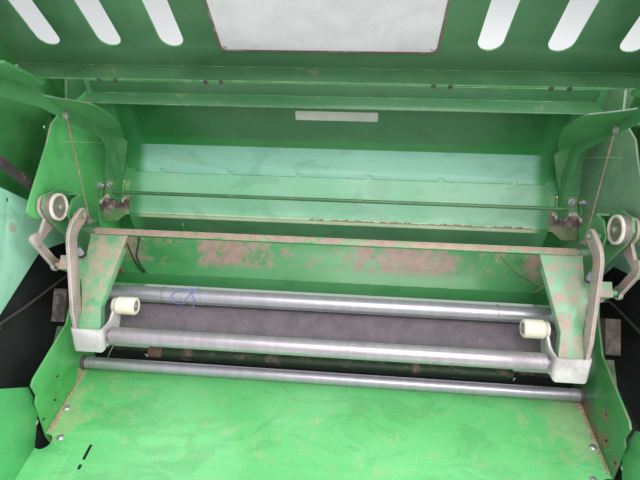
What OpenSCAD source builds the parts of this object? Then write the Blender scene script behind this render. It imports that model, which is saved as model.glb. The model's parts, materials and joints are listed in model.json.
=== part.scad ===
// Net wrap unit of a round baler: the compartment behind the hood that holds the net roll,
// with its brake frame, feed rollers, tray and gas struts. The origin is the centre of the
// four bolts that hold the unit to the tailgate, +Y points into the baler, +Z is up.

/* [Housing] */
// Distance between the inner faces of the two side walls
inside_w = 1310; // [1270:10:1350]
// Thickness of a side wall
wall_t = 5; // [4:1:7]
// Thickness of the folded sheets
sheet_t = 3; // [2:0.5:4]
// Radius of the four mounting bolt holes
bolt_r = 9; // [7:0.5:11]
// Height between the two rows of mounting bolts
bolt_rows = 360; // [300:10:420]
// Distance between the two columns of mounting bolts
bolt_columns = 1390; // [1380:5:1410]
// Length of the tray, from the lower roller to its lip
tray_len = 350; // [280:10:420]
// Rise of the tray towards its lip, in degrees
tray_slope = 4.8; // [2:0.2:7]
// Height of the tray's lip
tray_lip = 42; // [20:1:60]
// Height of the back panel above the cradle
back_h = 210; // [160:5:240]
// Depth of the stiffening flange on the back panel
top_flange_d = 68; // [40:1:90]
// Distance of the back panel's side edges from the side walls
back_inset = 70; // [50:5:100]
// Distance from notch to notch along the back panel's lower edge
notch_pitch = 194; // [160:2:200]
// Radius of a notch
notch_r = 7; // [4:0.5:9]
// Drop of the worn front lip of the cradle
cradle_lip = 64; // [40:1:70]

/* [Rollers] */
// Diameter of the lower roller
lower_d = 31; // [24:1:36]
// Diameter of the upper tube
upper_d = 40; // [34:1:46]
// Diameter of the rubber feed roller
rubber_d = 104; // [90:2:110]
// Diameter of the rear guide roller
rear_d = 44; // [30:1:50]
// Diameter of the roller shafts in the side walls
journal_d = 18; // [12:1:20]

/* [Brake frame] */
// Diameter of the middle tube
mid_d = 41; // [34:1:46]
// Diameter of a cream guide roller
guide_d = 44; // [36:1:50]
// Length of a cream guide roller
guide_len = 51; // [40:1:56]
// Width of a curved strap
strap_w = 34; // [26:1:40]
// Thickness of a curved strap
strap_t = 8; // [6:1:9]
// Thickness of the bent U-bracket
bracket_t = 6; // [4:1:7]
// Height of the bent U-bracket
bracket_h = 60; // [50:1:66]
// Side of the square cross bar
bar_s = 16; // [12:1:20]
// Thickness of a tapered arm
arm_t = 5; // [3:1:6]

/* [Hood] */
// Length of the hood panel, up its slope
hood_len = 430; // [400:10:500]
// Depth of the hood's side plates
hood_depth = 230; // [220:5:260]
// Overhang of the hood panel past its side plates
hood_over = 6; // [2:1:8]
// Width of a slot in the hood
slot_w = 46; // [30:1:60]
// Distance from slot to slot
slot_pitch = 125; // [100:1:130]
// Width of the blank plate between the slots
plate_w = 420; // [340:2:440]
// Depth of the flange along the hood's lower edge
hood_flange = 73; // [50:1:80]
// Thickness of a hood arm
hood_arm_t = 5; // [4:1:5]

/* [Linkage] */
// Diameter of a grey disc
disc_d = 62; // [50:1:64]
// Thickness of a grey disc
disc_t = 19; // [12:1:20]
// Thickness of a lever
lever_t = 7; // [5:1:7]
// Diameter of a gas strut's barrel
barrel_d = 22; // [18:1:24]
// Diameter of a gas strut's rod
rod_d = 10; // [8:1:12]
// Length of a gas strut's barrel
barrel_len = 300; // [260:5:320]

/* [Hidden] */
$fn = 48;
half_w = inside_w / 2;
// Running clearance on the radius of a shaft, and the seat gap between two still pieces
run_fit = 0.08;
seat = 0.3;
fit_w = inside_w - 2 * seat;
// Side clearance beside a moving piece
side_gap = 0.6;

// Diameters of the pins that carry moving pieces
pivot_d = 16;
axle_d = 14;
hinge_pin_d = 12;
foot_stud_d = 12;
ball_d = 14;
lever_pin_d = 12;
guide_pin_d = 12;
link_eye_d = 18;

// Places in the side view, as [y, z]
lower_at = [-442, -196];
upper_at = [-325, -38];
rubber_at = [-359, -109];
rear_at = [-362, -238];
mid_at = [-475, -28];
guide_at = [-404, 1];
brake_axis = [-304, 204];
disc_axis = [-331, 246];
lever_pin = [-400, 204];
link_pin = [-376, 104];
bar_at = [-282, 136];
hood_axis = [-97, 112];
strut_foot = [-215, 122];
tray_from = [-446, -219];

// Lower edge of the side walls, and their top and that of the corner plates at the back
wall_foot = -290;
rear_top = 470;
// Outer face of a side wall, and diameter of the spacers that hold the outer sheets off it
outer_x = half_w + wall_t;
spacer_d = 20;

// Levels across the width, as distances from the middle
gusset_x = half_w - 23;
gusset_t = 5;
lever_x = gusset_x + gusset_t + 6;
link_x = lever_x + lever_t + seat;
link_t = 8;
guard_t = 4;
strap_x = half_w - 72;
hood_arm_x = strap_x + strap_t + 5;
disc_x = gusset_x - side_gap - disc_t;
hood_side_x = half_w;
hood_side_t = 4;
wing_x = outer_x + seat;
strut_x = outer_x + 20;
bracket_x = strap_x - 65;
cover_x = outer_x + 64;
shell_x = cover_x + 20;
hood_w = 2 * (hood_side_x + hood_side_t + hood_over);

// Direction up the hood panel and direction out of it towards the front
hood_lean = 28;
hood_from = [-210, 532];
hood_up = [-sin(hood_lean), cos(hood_lean)];
hood_out = [-cos(hood_lean), -sin(hood_lean)];
function on_hood(up, out) = hood_from + up * hood_up + out * hood_out;
strut_pin = on_hood(150, 206);

// Cradle: edge of its lip, top of its slope and foot of its upright, end of its notches beside the
// hinge brackets, and the direction of its slope
lip_at = [-125, 78];
slope_top = [-14, 215];
upright_at = [-9, 232];
cradle_end = -66;
notch_x = half_w - 77;
cradle_dir = (slope_top - lip_at) / norm(slope_top - lip_at);
function on_cradle(up, out) = lip_at + up * cradle_dir + out * [-cradle_dir[1], cradle_dir[0]];

// Vector helpers for outlines in the side view
function unit(v) = v / norm(v);
function left_of(v) = [-v[1], v[0]];
function mitred(pts, i, t) =
    let (last = len(pts) - 1,
         a = unit(i > 0 ? pts[i] - pts[i - 1] : pts[1] - pts[0]),
         b = unit(i < last ? pts[i + 1] - pts[i] : pts[last] - pts[last - 1]),
         m = unit(left_of(a) + left_of(b)))
    pts[i] + t * m / (m * left_of(a));
// Outline of a sheet of thickness t folded along pts, its thickness on the left of the path
function folded(pts, t) =
    concat(pts, [for (i = [len(pts) - 1:-1:0]) mitred(pts, i, t)]);
// Outline of a bar of width w whose centre runs along pts
function barred(pts, w) =
    concat([for (i = [0:len(pts) - 1]) mitred(pts, i, -w / 2)],
           [for (i = [len(pts) - 1:-1:0]) mitred(pts, i, w / 2)]);
// A corner at b between a and c, rounded to radius r by n + 1 points
function rounded(a, b, c, r, n = 6) =
    let (u = unit(a - b), v = unit(c - b), half = acos(u * v) / 2,
         centre = b + unit(u + v) * r / sin(half),
         from = b + u * r / tan(half) - centre, to = b + v * r / tan(half) - centre,
         a0 = atan2(from[1], from[0]), turn = atan2(to[1], to[0]) - a0,
         sweep = turn > 180 ? turn - 360 : turn < -180 ? turn + 360 : turn)
    [for (i = [0:n]) centre + r * [cos(a0 + sweep * i / n), sin(a0 + sweep * i / n)]];

// A closed outline with every corner rounded to radius r
function softened(pts, r) =
    let (n = len(pts))
    [for (i = [0:n - 1]) each rounded(pts[(i + n - 1) % n], pts[i], pts[(i + 1) % n], r, 4)];

// A side-view outline made t thick towards +X, starting at x
module side_slab(x, t) translate([x, 0, 0]) rotate([90, 0, 90]) linear_extrude(height = t) children();
// A side-view outline across the width w, centred
module across(w) side_slab(-w / 2, w) children();
// A pin along X from x0 to x1 at a side-view place
module pin(at, d, x0, x1)
    translate([x0, at[0], at[1]]) rotate([0, 90, 0]) cylinder(d = d, h = x1 - x0);
// The same piece on the left, from the one modelled on the right
module on_left() mirror([1, 0, 0]) children();

// Side wall: plate with bearings, rear mounting flange and stop slots beside the tray
module side_wall() {
    outline = [
        [0, wall_foot], [0, rear_top], [-58, rear_top], [-108, 394], [-190, 382], [-234, 351],
        [-309, 309], [-354, 283], [-380, 265], [-374, 246], [-330, 200], [-285, 150], [-285, 66],
        [-355, -6], [-430, -52], [-590, -58], [-604, -66], [-606, -100],
        [-620, -112], [-640, -190], [-646, -214], [-646, wall_foot]
    ];
    slots = [[-532, -131, 60], [-573, -172, 30], [-625, -170, 50]];
    flange_t = 6;
    flange_w = bolt_columns / 2 + 25 - outer_x;
    color("seagreen") {
        difference() {
            side_slab(half_w, wall_t) polygon(outline);
            for (at = [lower_at, upper_at, rubber_at, rear_at])
                pin(at, journal_d + 2 * run_fit, half_w - 1, outer_x + 1);
            for (s = slots)
                translate([half_w - 1, s[0], s[1]]) rotate([s[2], 0, 0])
                    side_slab(0, wall_t + 2) square([5, 14], center = true);
        }
        difference() {
            translate([outer_x, -flange_t, wall_foot]) cube([flange_w, flange_t, rear_top - wall_foot]);
            for (z = [-1, 1])
                translate([bolt_columns / 2, 1, z * bolt_rows / 2]) rotate([90, 0, 0])
                    cylinder(r = bolt_r, h = flange_t + 2);
        }
        pin(strut_foot, foot_stud_d, outer_x, strut_x + 9);
    }
}

// Tray: flat sheet with a lip, slots and two pressed beads, narrower past the side walls
module tray() {
    shoulder = 200;
    narrow = 2 * outer_x;
    crease_x = half_w - 20.5;
    far_flange = 36;
    color("limegreen") translate([0, tray_from[0], tray_from[1]]) rotate([-tray_slope, 0, 0])
        difference() {
            union() {
                translate([-fit_w / 2, -shoulder, -sheet_t]) cube([fit_w, shoulder, sheet_t]);
                translate([-narrow / 2, -tray_len, -sheet_t])
                    cube([narrow, tray_len - shoulder, sheet_t]);
                translate([-narrow / 2, -tray_len, -tray_lip])
                    cube([narrow, sheet_t, tray_lip - sheet_t]);
                translate([-fit_w / 2, -sheet_t, -far_flange])
                    cube([fit_w, sheet_t, far_flange - sheet_t]);
            }
            for (s = [-1, 1]) {
                translate([s * (half_w - 6), -shoulder - 19, -sheet_t - 1])
                    cylinder(r = 20, h = sheet_t + 2);
                translate([s * (half_w + 6) - 12, -shoulder - 19, -sheet_t - 1])
                    cube([24, 20, sheet_t + 2]);
                translate([s * crease_x - 0.6, -tray_len + sheet_t, -0.6])
                    cube([1.2, tray_len - shoulder - 36, 1.2]);
                for (slot = [[124, -236, 38], [124, -272, 12]])
                    translate([s * (half_w - slot[0]) - 4, slot[1] - slot[2] / 2, -sheet_t - 1])
                        cube([8, slot[2], sheet_t + 2]);
                for (x = [66, 85])
                    translate([s * (half_w - x) - 1, -tray_len + sheet_t, -0.8])
                        cube([2, tray_len - shoulder - 28, 1.6]);
            }
        }
}

// Wing beside the tray past the side wall: upright plate with a folded upper part that leans out
module tray_wing() {
    fold_at = [-618, -134];
    fold_rise = 42.8;
    out_lean = 20;
    near_y = -788;
    fold_len = (fold_at[0] - near_y) / cos(fold_rise);
    color("mediumseagreen") {
        side_slab(wing_x, sheet_t)
            polygon([fold_at, [-684, -204], [near_y, -196],
                     [near_y, fold_at[1] + fold_len * sin(fold_rise)]]);
        translate([wing_x, fold_at[0], fold_at[1]]) rotate([-fold_rise, 0, 0]) rotate([0, out_lean, 0])
            side_slab(0, sheet_t)
                polygon([[0, 0], [-13, 54], [-98, 72], [-fold_len, 76], [-fold_len, 0]]);
    }
}

// Cradle sheet: worn front lip, sloped seat of the net roll and foot of the back panel
module cradle_sheet() {
    upright_top = 300;
    corner_w = back_inset - 2;
    color("mediumaquamarine") {
        difference() {
            across(fit_w) polygon(folded([lip_at - [0, cradle_lip], lip_at, slope_top, upright_at,
                                          [upright_at[0], upright_top]], -sheet_t));
            for (x = [-half_w - 1, notch_x])
                translate([x, cradle_end - 200, -60]) cube([half_w + 1 - notch_x, 200, 300]);
        }
        for (x = [-fit_w / 2, fit_w / 2 - corner_w])
            translate([x, upright_at[0], upright_top])
                cube([corner_w, sheet_t, rear_top - upright_top]);
    }
}

// Back panel: laps over the cradle sheet with a notched lower edge, stands up behind the roll
module back_panel() {
    lap_from = on_cradle(119, seat);
    lap_lean = atan2(cradle_dir[0], cradle_dir[1]);
    w = inside_w - 2 * back_inset;
    corner_r = 25;
    color("forestgreen") difference() {
        across(w) polygon(folded([lap_from, slope_top - [seat, 0], upright_at - [seat, 0],
                                  upright_at + [-seat, back_h]], sheet_t));
        for (i = [-2.5:1:2.5])
            translate([i * notch_pitch, lap_from[0], lap_from[1]]) rotate([-lap_lean, 0, 0])
                cylinder(r = notch_r, h = 20, center = true);
        for (s = [-1, 1])
            translate([s * w / 2, lap_from[0], lap_from[1]]) rotate([-lap_lean, 0, 0])
                difference() {
                    cube([2 * corner_r, 2 * corner_r, 20], center = true);
                    translate([-s * corner_r, corner_r, 0])
                        cylinder(r = corner_r + 0.6, h = 22, center = true);
                }
    }
}

// Stiffening angle along the front of the back panel, near its top edge
module top_flange() {
    leg = 35;
    bend_at = upright_at + [-sheet_t - 2 * seat, back_h - 57];
    color("darkseagreen") across(inside_w - 40)
        polygon(folded([bend_at + [0, leg], bend_at, bend_at - [top_flange_d, 0]], -sheet_t));
}

// Deflector below the cradle lip, bent towards the upper tube
module deflector() {
    color("olivedrab") across(fit_w)
        polygon(folded([[-132, -3], [-211, -74], [-222, -108]], sheet_t));
}

// Gusset: channel of two cheeks and a front web that carries the strap's pivot and the disc's axle
module gusset() {
    outer = [
        [-308, 52], [-330, 160], [-356, 226], [-358, 262], [-336, 282], [-290, 268],
        [-249, 233], [-182, 114], [-200, 52]
    ];
    web_path = [[-262, 232], [-214, 150]];
    inner = concat([[-328, 196], [-322, 222], [-290, 238]], web_path, [[-240, 132], [-300, 168]]);
    cheek_x = strap_x + strap_t + 14;
    color("green") {
        side_slab(gusset_x, gusset_t) polygon(outer);
        side_slab(cheek_x, gusset_t) polygon(inner);
        side_slab(cheek_x, gusset_x - cheek_x) polygon(folded(web_path, gusset_t));
        translate([gusset_x + gusset_t, -203, 52]) cube([half_w - gusset_x - gusset_t, 4, 92]);
        pin(brake_axis, pivot_d, strap_x - 4, gusset_x);
        pin(disc_axis, axle_d, disc_x - 3, gusset_x);
        pin(disc_axis, axle_d, gusset_x + gusset_t, lever_x + lever_t + seat);
    }
}

// Hinge bracket of the hood: plate in the cradle's notch, flange on the side wall, two ears and pin
module hinge_bracket() {
    ear_r = 15;
    ear_t = 5;
    plate_t = 4;
    reach = (cradle_end - lip_at[0]) / cradle_dir[0] - seat;
    foot = -25;
    side_t = 5;
    ears = [hood_arm_x - ear_t - side_gap, hood_arm_x + hood_arm_t + side_gap];
    slot_up = 18;
    plate_x = notch_x + seat;
    plate_w = half_w - notch_x - 2 * seat;
    color("dimgray") difference() {
        union() {
            side_slab(plate_x, plate_w)
                polygon([on_cradle(foot, 0), on_cradle(reach + 6, 0),
                         on_cradle(reach + 6, -plate_t), on_cradle(foot, -plate_t)]);
            side_slab(half_w - seat - side_t, side_t)
                polygon([on_cradle(foot, -20), on_cradle(reach, -20), on_cradle(reach, 0),
                         on_cradle(reach - 8, 20), on_cradle(16, 20), on_cradle(foot, 0)]);
            for (x = ears)
                side_slab(x, ear_t) union() {
                    polygon([on_cradle(12, -plate_t), on_cradle(reach - 4, -plate_t),
                             on_cradle(reach - 12, 12), on_cradle(24, 12)]);
                    translate(hood_axis) circle(r = ear_r);
                }
        }
        side_slab(ears[0] + ear_t, ears[1] - ears[0] - ear_t)
            polygon([on_cradle(slot_up, -40), on_cradle(reach + 30, -40),
                     on_cradle(reach + 30, 40), on_cradle(slot_up, 40)]);
        translate([notch_x, cradle_end - seat, 0]) cube([half_w - notch_x, 60, 300]);
        translate([plate_x, lip_at[0], lip_at[1]]) rotate([atan2(cradle_dir[1], cradle_dir[0]), 0, 0])
            translate([0, 0, -plate_t - 1]) linear_extrude(height = plate_t + 2)
                polygon([[-1, foot - 1], [36, foot - 1], [10, -4], [-1, -4]]);
    }
    color("dimgray") pin(hood_axis, hinge_pin_d, ears[0] - 8, ears[1] + ear_t + 8);
}

// Outer side cover below the strut, seen past the linkage, on two spacers
module side_cover() {
    color("aquamarine") {
        difference() {
            side_slab(cover_x, sheet_t) polygon(softened([
                [0, -120], [0, 110], [-150, 128], [-263, 197], [-343, 304], [-440, 378],
                [-596, 250], [-600, 90], [-515, 72], [-323, 98], [-215, 40], [-150, -120]
            ], 16));
            pin([-340, 267], 9, cover_x - 1, cover_x + sheet_t + 1);
        }
        for (at = [[-60, 60], [-60, -60]])
            pin(at, spacer_d, outer_x, cover_x);
    }
}

// Darker shell outside the hood's side, above the side cover
module side_shell() {
    color("darkgreen") {
        difference() {
            side_slab(shell_x, sheet_t) polygon(softened([
                [0, 110], [0, 490], [-290, 490], [-400, 400],
                [-400, 290], [-320, 245], [-240, 180], [-150, 110]
            ], 24));
            for (at = [[-101, 328], [-120, 267]])
                pin(at, 8, shell_x - 1, shell_x + sheet_t + 1);
        }
        for (at = [[-50, 350], [-50, 150]])
            pin(at, spacer_d, outer_x, shell_x);
    }
}

// Dark guard outside the side wall, below the side cover
module guard() {
    color("black") {
        side_slab(shell_x, guard_t) polygon(softened([
            [-190, -250], [-190, 40], [-250, 104], [-470, 104],
            [-610, 10], [-640, -120], [-600, -250]
        ], 30));
        for (at = [[-320, -180], [-560, -180]])
            pin(at, spacer_d, outer_x, shell_x);
    }
}

// Hood panel: sloped sheet with three slots each side and a flange towards the front
module hood_panel() {
    slot_from = 54;
    slot_to = 340;
    first_slot = 300;
    color("darkgreen") difference() {
        across(hood_w)
            polygon(folded([on_hood(0, 0) - [hood_flange, 0], on_hood(0, 0), on_hood(hood_len, 0),
                            on_hood(hood_len, 40)], -sheet_t));
        translate([0, hood_from[0], hood_from[1]]) rotate([90 + hood_lean, 0, 0])
            for (s = [-1, 1], i = [0:2])
                translate([s * (first_slot + i * slot_pitch), 0, -10]) linear_extrude(height = 20) {
                    translate([0, slot_from + slot_w / 2]) circle(d = slot_w);
                    translate([-slot_w / 2, slot_from + slot_w / 2])
                        square([slot_w, slot_to - slot_from - slot_w]);
                    translate([0, slot_to - slot_w / 2]) circle(d = slot_w);
                }
    }
}

// Blank plate riveted between the slots
module hood_plate() {
    plate_t = 1.5;
    low = 45;
    high = 330;
    color("gainsboro") side_slab(-plate_w / 2, plate_w)
        polygon([on_hood(low, seat / 2), on_hood(high, seat / 2),
                 on_hood(high, plate_t), on_hood(low, plate_t)]);
}

// Side plate of the hood box, outside the arm, with the stud of the strut's ball joint
module hood_side() {
    color("green") {
        side_slab(hood_side_x, hood_side_t)
            polygon([on_hood(4, seat), on_hood(hood_len - 6, seat), on_hood(hood_len - 6, 38),
                     on_hood(hood_len - 60, hood_depth - 60), on_hood(180, hood_depth),
                     on_hood(120, hood_depth), on_hood(40, 120),
                     hood_from - [hood_flange + 2, 18], hood_from - [hood_flange + 2, -seat]]);
        pin(strut_pin, ball_d, hood_side_x + hood_side_t, strut_x - eye_half - side_gap);
    }
}

// Goose-neck arm: web with the hinge eye, a wide flange along its rear edge, bolted to the side plate
module hood_arm() {
    rear_edge = concat([[-79, 112], [-72, 155], [-50, 198]],
                       rounded([-50, 198], [-44, 284], [-283, 511], 36),
                       [[-283, 511], [-425, 616]]);
    front_edge = concat([[-446, 580], [-371, 527], [-276, 463]],
                        rounded([-276, 463], [-98, 296], [-93, 200], 60),
                        [[-93, 172], [-118, 170], [-150, 166], [-152, 148]]);
    web = hood_arm_x + hood_arm_t;
    color("green") {
        difference() {
            side_slab(hood_arm_x, hood_arm_t) union() {
                polygon(concat(rear_edge, front_edge, [hood_axis - [12, 12], hood_axis + [12, -12]]));
                translate(hood_axis) circle(r = 20);
            }
            pin(hood_axis, hinge_pin_d + 2 * run_fit, hood_arm_x - 1, web + 1);
        }
        intersection() {
            side_slab(hood_arm_x - 90, 90) polygon(folded(rear_edge, hood_arm_t));
            rotate([90, 0, 0]) linear_extrude(height = 500) translate([web, 0]) polygon([
                [0, 168], [-7, 172], [-21, 208], [-39, 262], [-30, 272], [-77, 363], [-85, 392],
                [-84, 440], [-76, 455], [-29, 470], [-5, 482], [-12, 518], [-61, 534], [-71, 549],
                [-87, 640], [0, 640]]);
        }
        side_slab(hood_arm_x, hood_side_x - seat - hood_arm_x)
            polygon(folded([[-446, 580], [-425, 616]], -hood_arm_t));
        pin([-214, 417], 19, hood_arm_x - 3, hood_arm_x);
    }
}

// Round rod between the two hood arms
module hood_rod() {
    color("darkgreen") pin([-140, 159], 10, -hood_arm_x, hood_arm_x);
}

// Line of a gas strut, and diameter and half width of the eyes at its ends
strut_angle = atan2(strut_pin[1] - strut_foot[1], strut_pin[0] - strut_foot[0]);
strut_len = norm(strut_pin - strut_foot);
eye_d = 24;
eye_half = 7;
// Places a piece modelled along +Z on the strut's line
module on_strut()
    translate([strut_x, strut_foot[0], strut_foot[1]]) rotate([strut_angle - 90, 0, 0]) children();
module strut_eye(up)
    translate([-eye_half, 0, up]) rotate([0, 90, 0]) cylinder(d = eye_d, h = 2 * eye_half);

// Barrel of a gas strut: eye on the wall's stud, neck and bored tube
module strut_barrel() {
    neck = 20;
    bore_from = 60;
    color("dimgray") difference() {
        on_strut() difference() {
            union() {
                translate([0, 0, 8]) cylinder(d = barrel_d / 2, h = neck - 8);
                translate([0, 0, neck]) cylinder(d = barrel_d, h = barrel_len - neck);
                strut_eye(0);
            }
            translate([0, 0, bore_from]) cylinder(d = rod_d + 2 * run_fit, h = barrel_len);
        }
        pin(strut_foot, foot_stud_d + 2 * run_fit, strut_x - 10, strut_x + 10);
    }
}

// Rod of a gas strut, from inside the barrel to the ball joint on the hood's side plate
module strut_rod() {
    rod_from = 130;
    color("silver") difference() {
        on_strut() union() {
            translate([0, 0, rod_from]) cylinder(d = rod_d, h = strut_len - rod_from - 8);
            strut_eye(strut_len);
        }
        pin(strut_pin, ball_d, strut_x, strut_x + 10);
    }
}

// Lower end of the brake frame: the strap's bend and end, and the lean and ends of the U-bracket
strap_knee = [-362, 200];
strap_end = [-490, -22];
bracket_lean = 19;
bracket_foot = [-511, -50];
bracket_head = bracket_foot + bracket_h * [sin(bracket_lean), cos(bracket_lean)];

// Curved strap that hangs the brake frame from the gusset's pivot, cut along the bracket's back
module strap() {
    path = concat([brake_axis], rounded(brake_axis, strap_knee, strap_end, 50), [strap_end]);
    back = bracket_t + seat;
    color("gray") side_slab(strap_x, strap_t) difference() {
        union() {
            polygon(barred(path, strap_w));
            translate(brake_axis) circle(d = strap_w);
        }
        translate(brake_axis) circle(d = pivot_d + 2 * run_fit);
        polygon([bracket_foot + [back, -40], bracket_foot + [back, -2], bracket_head + [back, -2],
                 bracket_head + [back + 14, 40], [-560, 40], [-560, -90]]);
    }
}

// Bent U-bracket round the lower end of strap and arm; its inner cheek carries both rollers
module brake_bracket() {
    corner_r = 12;
    across_w = strap_x + strap_t + bracket_t - bracket_x;
    color("lightgray") difference() {
        union() {
            difference() {
                side_slab(bracket_x, across_w) polygon([
                    bracket_foot, bracket_head, bracket_head + [54, -22], bracket_foot + [54, 22]]);
                side_slab(bracket_x + bracket_t, across_w - 2 * bracket_t) polygon([
                    bracket_foot + [bracket_t, -40], bracket_foot + [bracket_t, -2],
                    bracket_head + [bracket_t, -2], bracket_head + [bracket_t, 40],
                    [-400, 60], [-400, -90]]);
                for (x = [bracket_x, bracket_x + across_w])
                    translate([x, bracket_foot[0], bracket_foot[1]]) rotate([-bracket_lean, 0, 0])
                        difference() {
                            translate([-corner_r, -corner_r, -20])
                                cube([2 * corner_r, 2 * corner_r, 120]);
                            translate([x == bracket_x ? corner_r : -corner_r, corner_r, -21])
                                cylinder(r = corner_r + 0.4, h = 122);
                            translate([-corner_r - 1, corner_r, -21])
                                cube([2 * corner_r + 2, corner_r, 122]);
                        }
            }
            side_slab(bracket_x, bracket_t) {
                polygon([bracket_foot + [22, 8], bracket_head + [22, -9], [-471, -5], [-444, -8],
                         guide_at + [-18, -2], guide_at + [19, 4], guide_at + [14, -20],
                         [-416, -46], [-444, -66], [-468, -62], [-492, -50]]);
                translate(guide_at) circle(r = 19);
                translate(mid_at + [16, -12]) circle(r = 26);
            }
            pin(guide_at, guide_pin_d, bracket_x - guide_len + 10, bracket_x);
        }
        pin(mid_at, journal_d + 2 * run_fit, bracket_x - 1, bracket_x + bracket_t + 1);
    }
}

// Tapered arm from the cross bar to the U-bracket: folded edge, outer tab with the link's lug
module brake_arm() {
    arm_len = 252.5;
    slope = atan2(bar_at[1] + 10, bar_at[0] + 488);
    inner = strap_x - seat;
    tab_x = lever_x - 8;
    color("yellowgreen") {
        translate([0, bar_at[0], bar_at[1]]) rotate([slope, 0, 0]) {
            translate([0, 0, -arm_t / 2]) linear_extrude(height = arm_t) polygon([
                [inner - 83, -bar_s / 2 - seat], [inner + 13, -bar_s / 2 - seat],
                [inner + 13, -64], [inner + 18, -70], [tab_x, -70], [tab_x, -112],
                [inner + 14, -124], [inner, -190], [inner, -238], [inner - 8, -arm_len],
                [inner - 57, -arm_len], [inner - 46, -186], [inner - 56, -139]]);
            translate([0, 0, -arm_t / 2 - 16]) linear_extrude(height = 16) polygon([
                [inner - 77, -bar_s / 2 - 30], [inner - 56, -139], [inner - 46, -186], [inner - 54, -236],
                [inner - 49, -236], [inner - 41, -186], [inner - 51, -139], [inner - 72, -bar_s / 2 - 30]]);
            translate([strap_x + strap_t + 12, -108, 0])
                cube([tab_x - strap_x - strap_t - 12, 34, 44]);
        }
        pin(link_pin, lever_pin_d, tab_x, link_x + link_t);
    }
}

// Square bar between the two straps, turned on edge
module cross_bar() {
    color("green") translate([0, bar_at[0], bar_at[1]]) rotate([35, 0, 0])
        cube([2 * strap_x - 2 * seat, bar_s, bar_s], center = true);
}

// A plain roller with its two journals
module roller(at, d, len, reach) {
    pin(at, d, -len / 2, len / 2);
    for (s = [-1, 1])
        pin(at, journal_d, s > 0 ? len / 2 : -reach, s > 0 ? reach : -len / 2);
}

// Middle tube of the brake frame, between the two U-brackets
module mid_tube()
    color("silver") roller(mid_at, mid_d, 2 * (bracket_x - 11), bracket_x + bracket_t + 2);
// Rollers between the side walls; the lower one has a groove near each end
journal_end = outer_x + 3;
module lower_roller() {
    groove_x = half_w - 37;
    color("silver") difference() {
        roller(lower_at, lower_d, inside_w - 20, journal_end);
        for (s = [-1, 1])
            difference() {
                pin(lower_at, lower_d + 4, s * groove_x - 1, s * groove_x + 1);
                pin(lower_at, lower_d - 3, s * groove_x - 2, s * groove_x + 2);
            }
    }
}
module upper_tube()
    color("silver") roller(upper_at, upper_d, inside_w - 150, journal_end);
module rubber_roller()
    color("darkslategray") roller(rubber_at, rubber_d, inside_w - 110, journal_end);
module rear_roller()
    color("green") roller(rear_at, rear_d, inside_w - 300, journal_end);

// Cream guide roller: rounded ends and a recess for its bearing
module guide_roller() {
    edge_r = 5;
    recess = 3;
    flat_r = guide_d / 2 - edge_r;
    color("cornsilk") translate([bracket_x - guide_len - side_gap, guide_at[0], guide_at[1]])
        rotate([0, 90, 0]) difference() {
            rotate_extrude() polygon(concat(
                [[0, 0], [flat_r, 0]],
                [for (a = [-75:15:0]) [flat_r + edge_r * cos(a), edge_r + edge_r * sin(a)]],
                [[guide_d / 2, guide_len - edge_r], [flat_r, guide_len], [0, guide_len]]));
            translate([0, 0, -1]) cylinder(d = guide_d - 17, h = recess + 1);
            translate([0, 0, 8]) cylinder(d = guide_pin_d + 2 * run_fit, h = guide_len);
        }
}

// Grey disc: a cup with a raised rim round its face
module disc() {
    rim = 4;
    color("gray") difference() {
        pin(disc_axis, disc_d, disc_x, disc_x + disc_t);
        pin(disc_axis, disc_d - 2 * rim, disc_x - 1, disc_x + 2.5);
        pin(disc_axis, axle_d + 2 * run_fit, disc_x - 1, disc_x + disc_t + 1);
    }
}

// Lever on the disc's axle, with the link's pin
module lever() {
    cheek = [disc_axis + [-26, 12], disc_axis + [-24, -20], lever_pin + [-14, -8],
             lever_pin + [8, -13], disc_axis + [-28, -52], disc_axis + [10, -60],
             disc_axis + [28, -10]];
    color("gray") {
        side_slab(lever_x, lever_t) difference() {
            union() {
                polygon(cheek);
                translate(disc_axis) circle(r = 28);
                translate(lever_pin) circle(r = 15);
            }
            translate(disc_axis) circle(d = axle_d + 2 * run_fit);
        }
        pin(lever_pin, lever_pin_d, lever_x + lever_t, link_x + link_t + 3);
    }
}

// Link from the lever to the arm's pin, with a wide eye round that pin
module link() {
    color("gray") side_slab(link_x, link_t) difference() {
        union() {
            polygon(barred([lever_pin, link_pin], 22));
            translate(lever_pin) circle(d = 22);
            translate(link_pin) circle(d = 30);
        }
        translate(lever_pin) circle(d = lever_pin_d + 2 * run_fit);
        translate(link_pin) circle(d = link_eye_d);
    }
}

on_left() side_wall();  // side_wall_left
side_wall();  // side_wall_right
tray();
on_left() tray_wing();  // tray_wing_left
tray_wing();  // tray_wing_right
cradle_sheet();
back_panel();
top_flange();
deflector();
on_left() gusset();  // gusset_left
gusset();  // gusset_right
on_left() hinge_bracket();  // hinge_bracket_left
hinge_bracket();  // hinge_bracket_right
on_left() side_cover();  // side_cover_left
side_cover();  // side_cover_right
on_left() side_shell();  // side_shell_left
side_shell();  // side_shell_right
on_left() guard();  // guard_left
guard();  // guard_right
hood_panel();
hood_plate();
on_left() hood_side();  // hood_side_left
hood_side();  // hood_side_right
on_left() hood_arm();  // hood_arm_left
hood_arm();  // hood_arm_right
hood_rod();
on_left() strut_barrel();  // strut_barrel_left
strut_barrel();  // strut_barrel_right
on_left() strut_rod();  // strut_rod_left
strut_rod();  // strut_rod_right
on_left() strap();  // strap_left
strap();  // strap_right
on_left() brake_bracket();  // brake_bracket_left
brake_bracket();  // brake_bracket_right
on_left() brake_arm();  // brake_arm_left
brake_arm();  // brake_arm_right
cross_bar();
mid_tube();
on_left() guide_roller();  // guide_roller_left
guide_roller();  // guide_roller_right
lower_roller();
upper_tube();
rubber_roller();
rear_roller();
on_left() disc();  // disc_left
disc();  // disc_right
on_left() lever();  // lever_left
lever();  // lever_right
on_left() link();  // link_left
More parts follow.
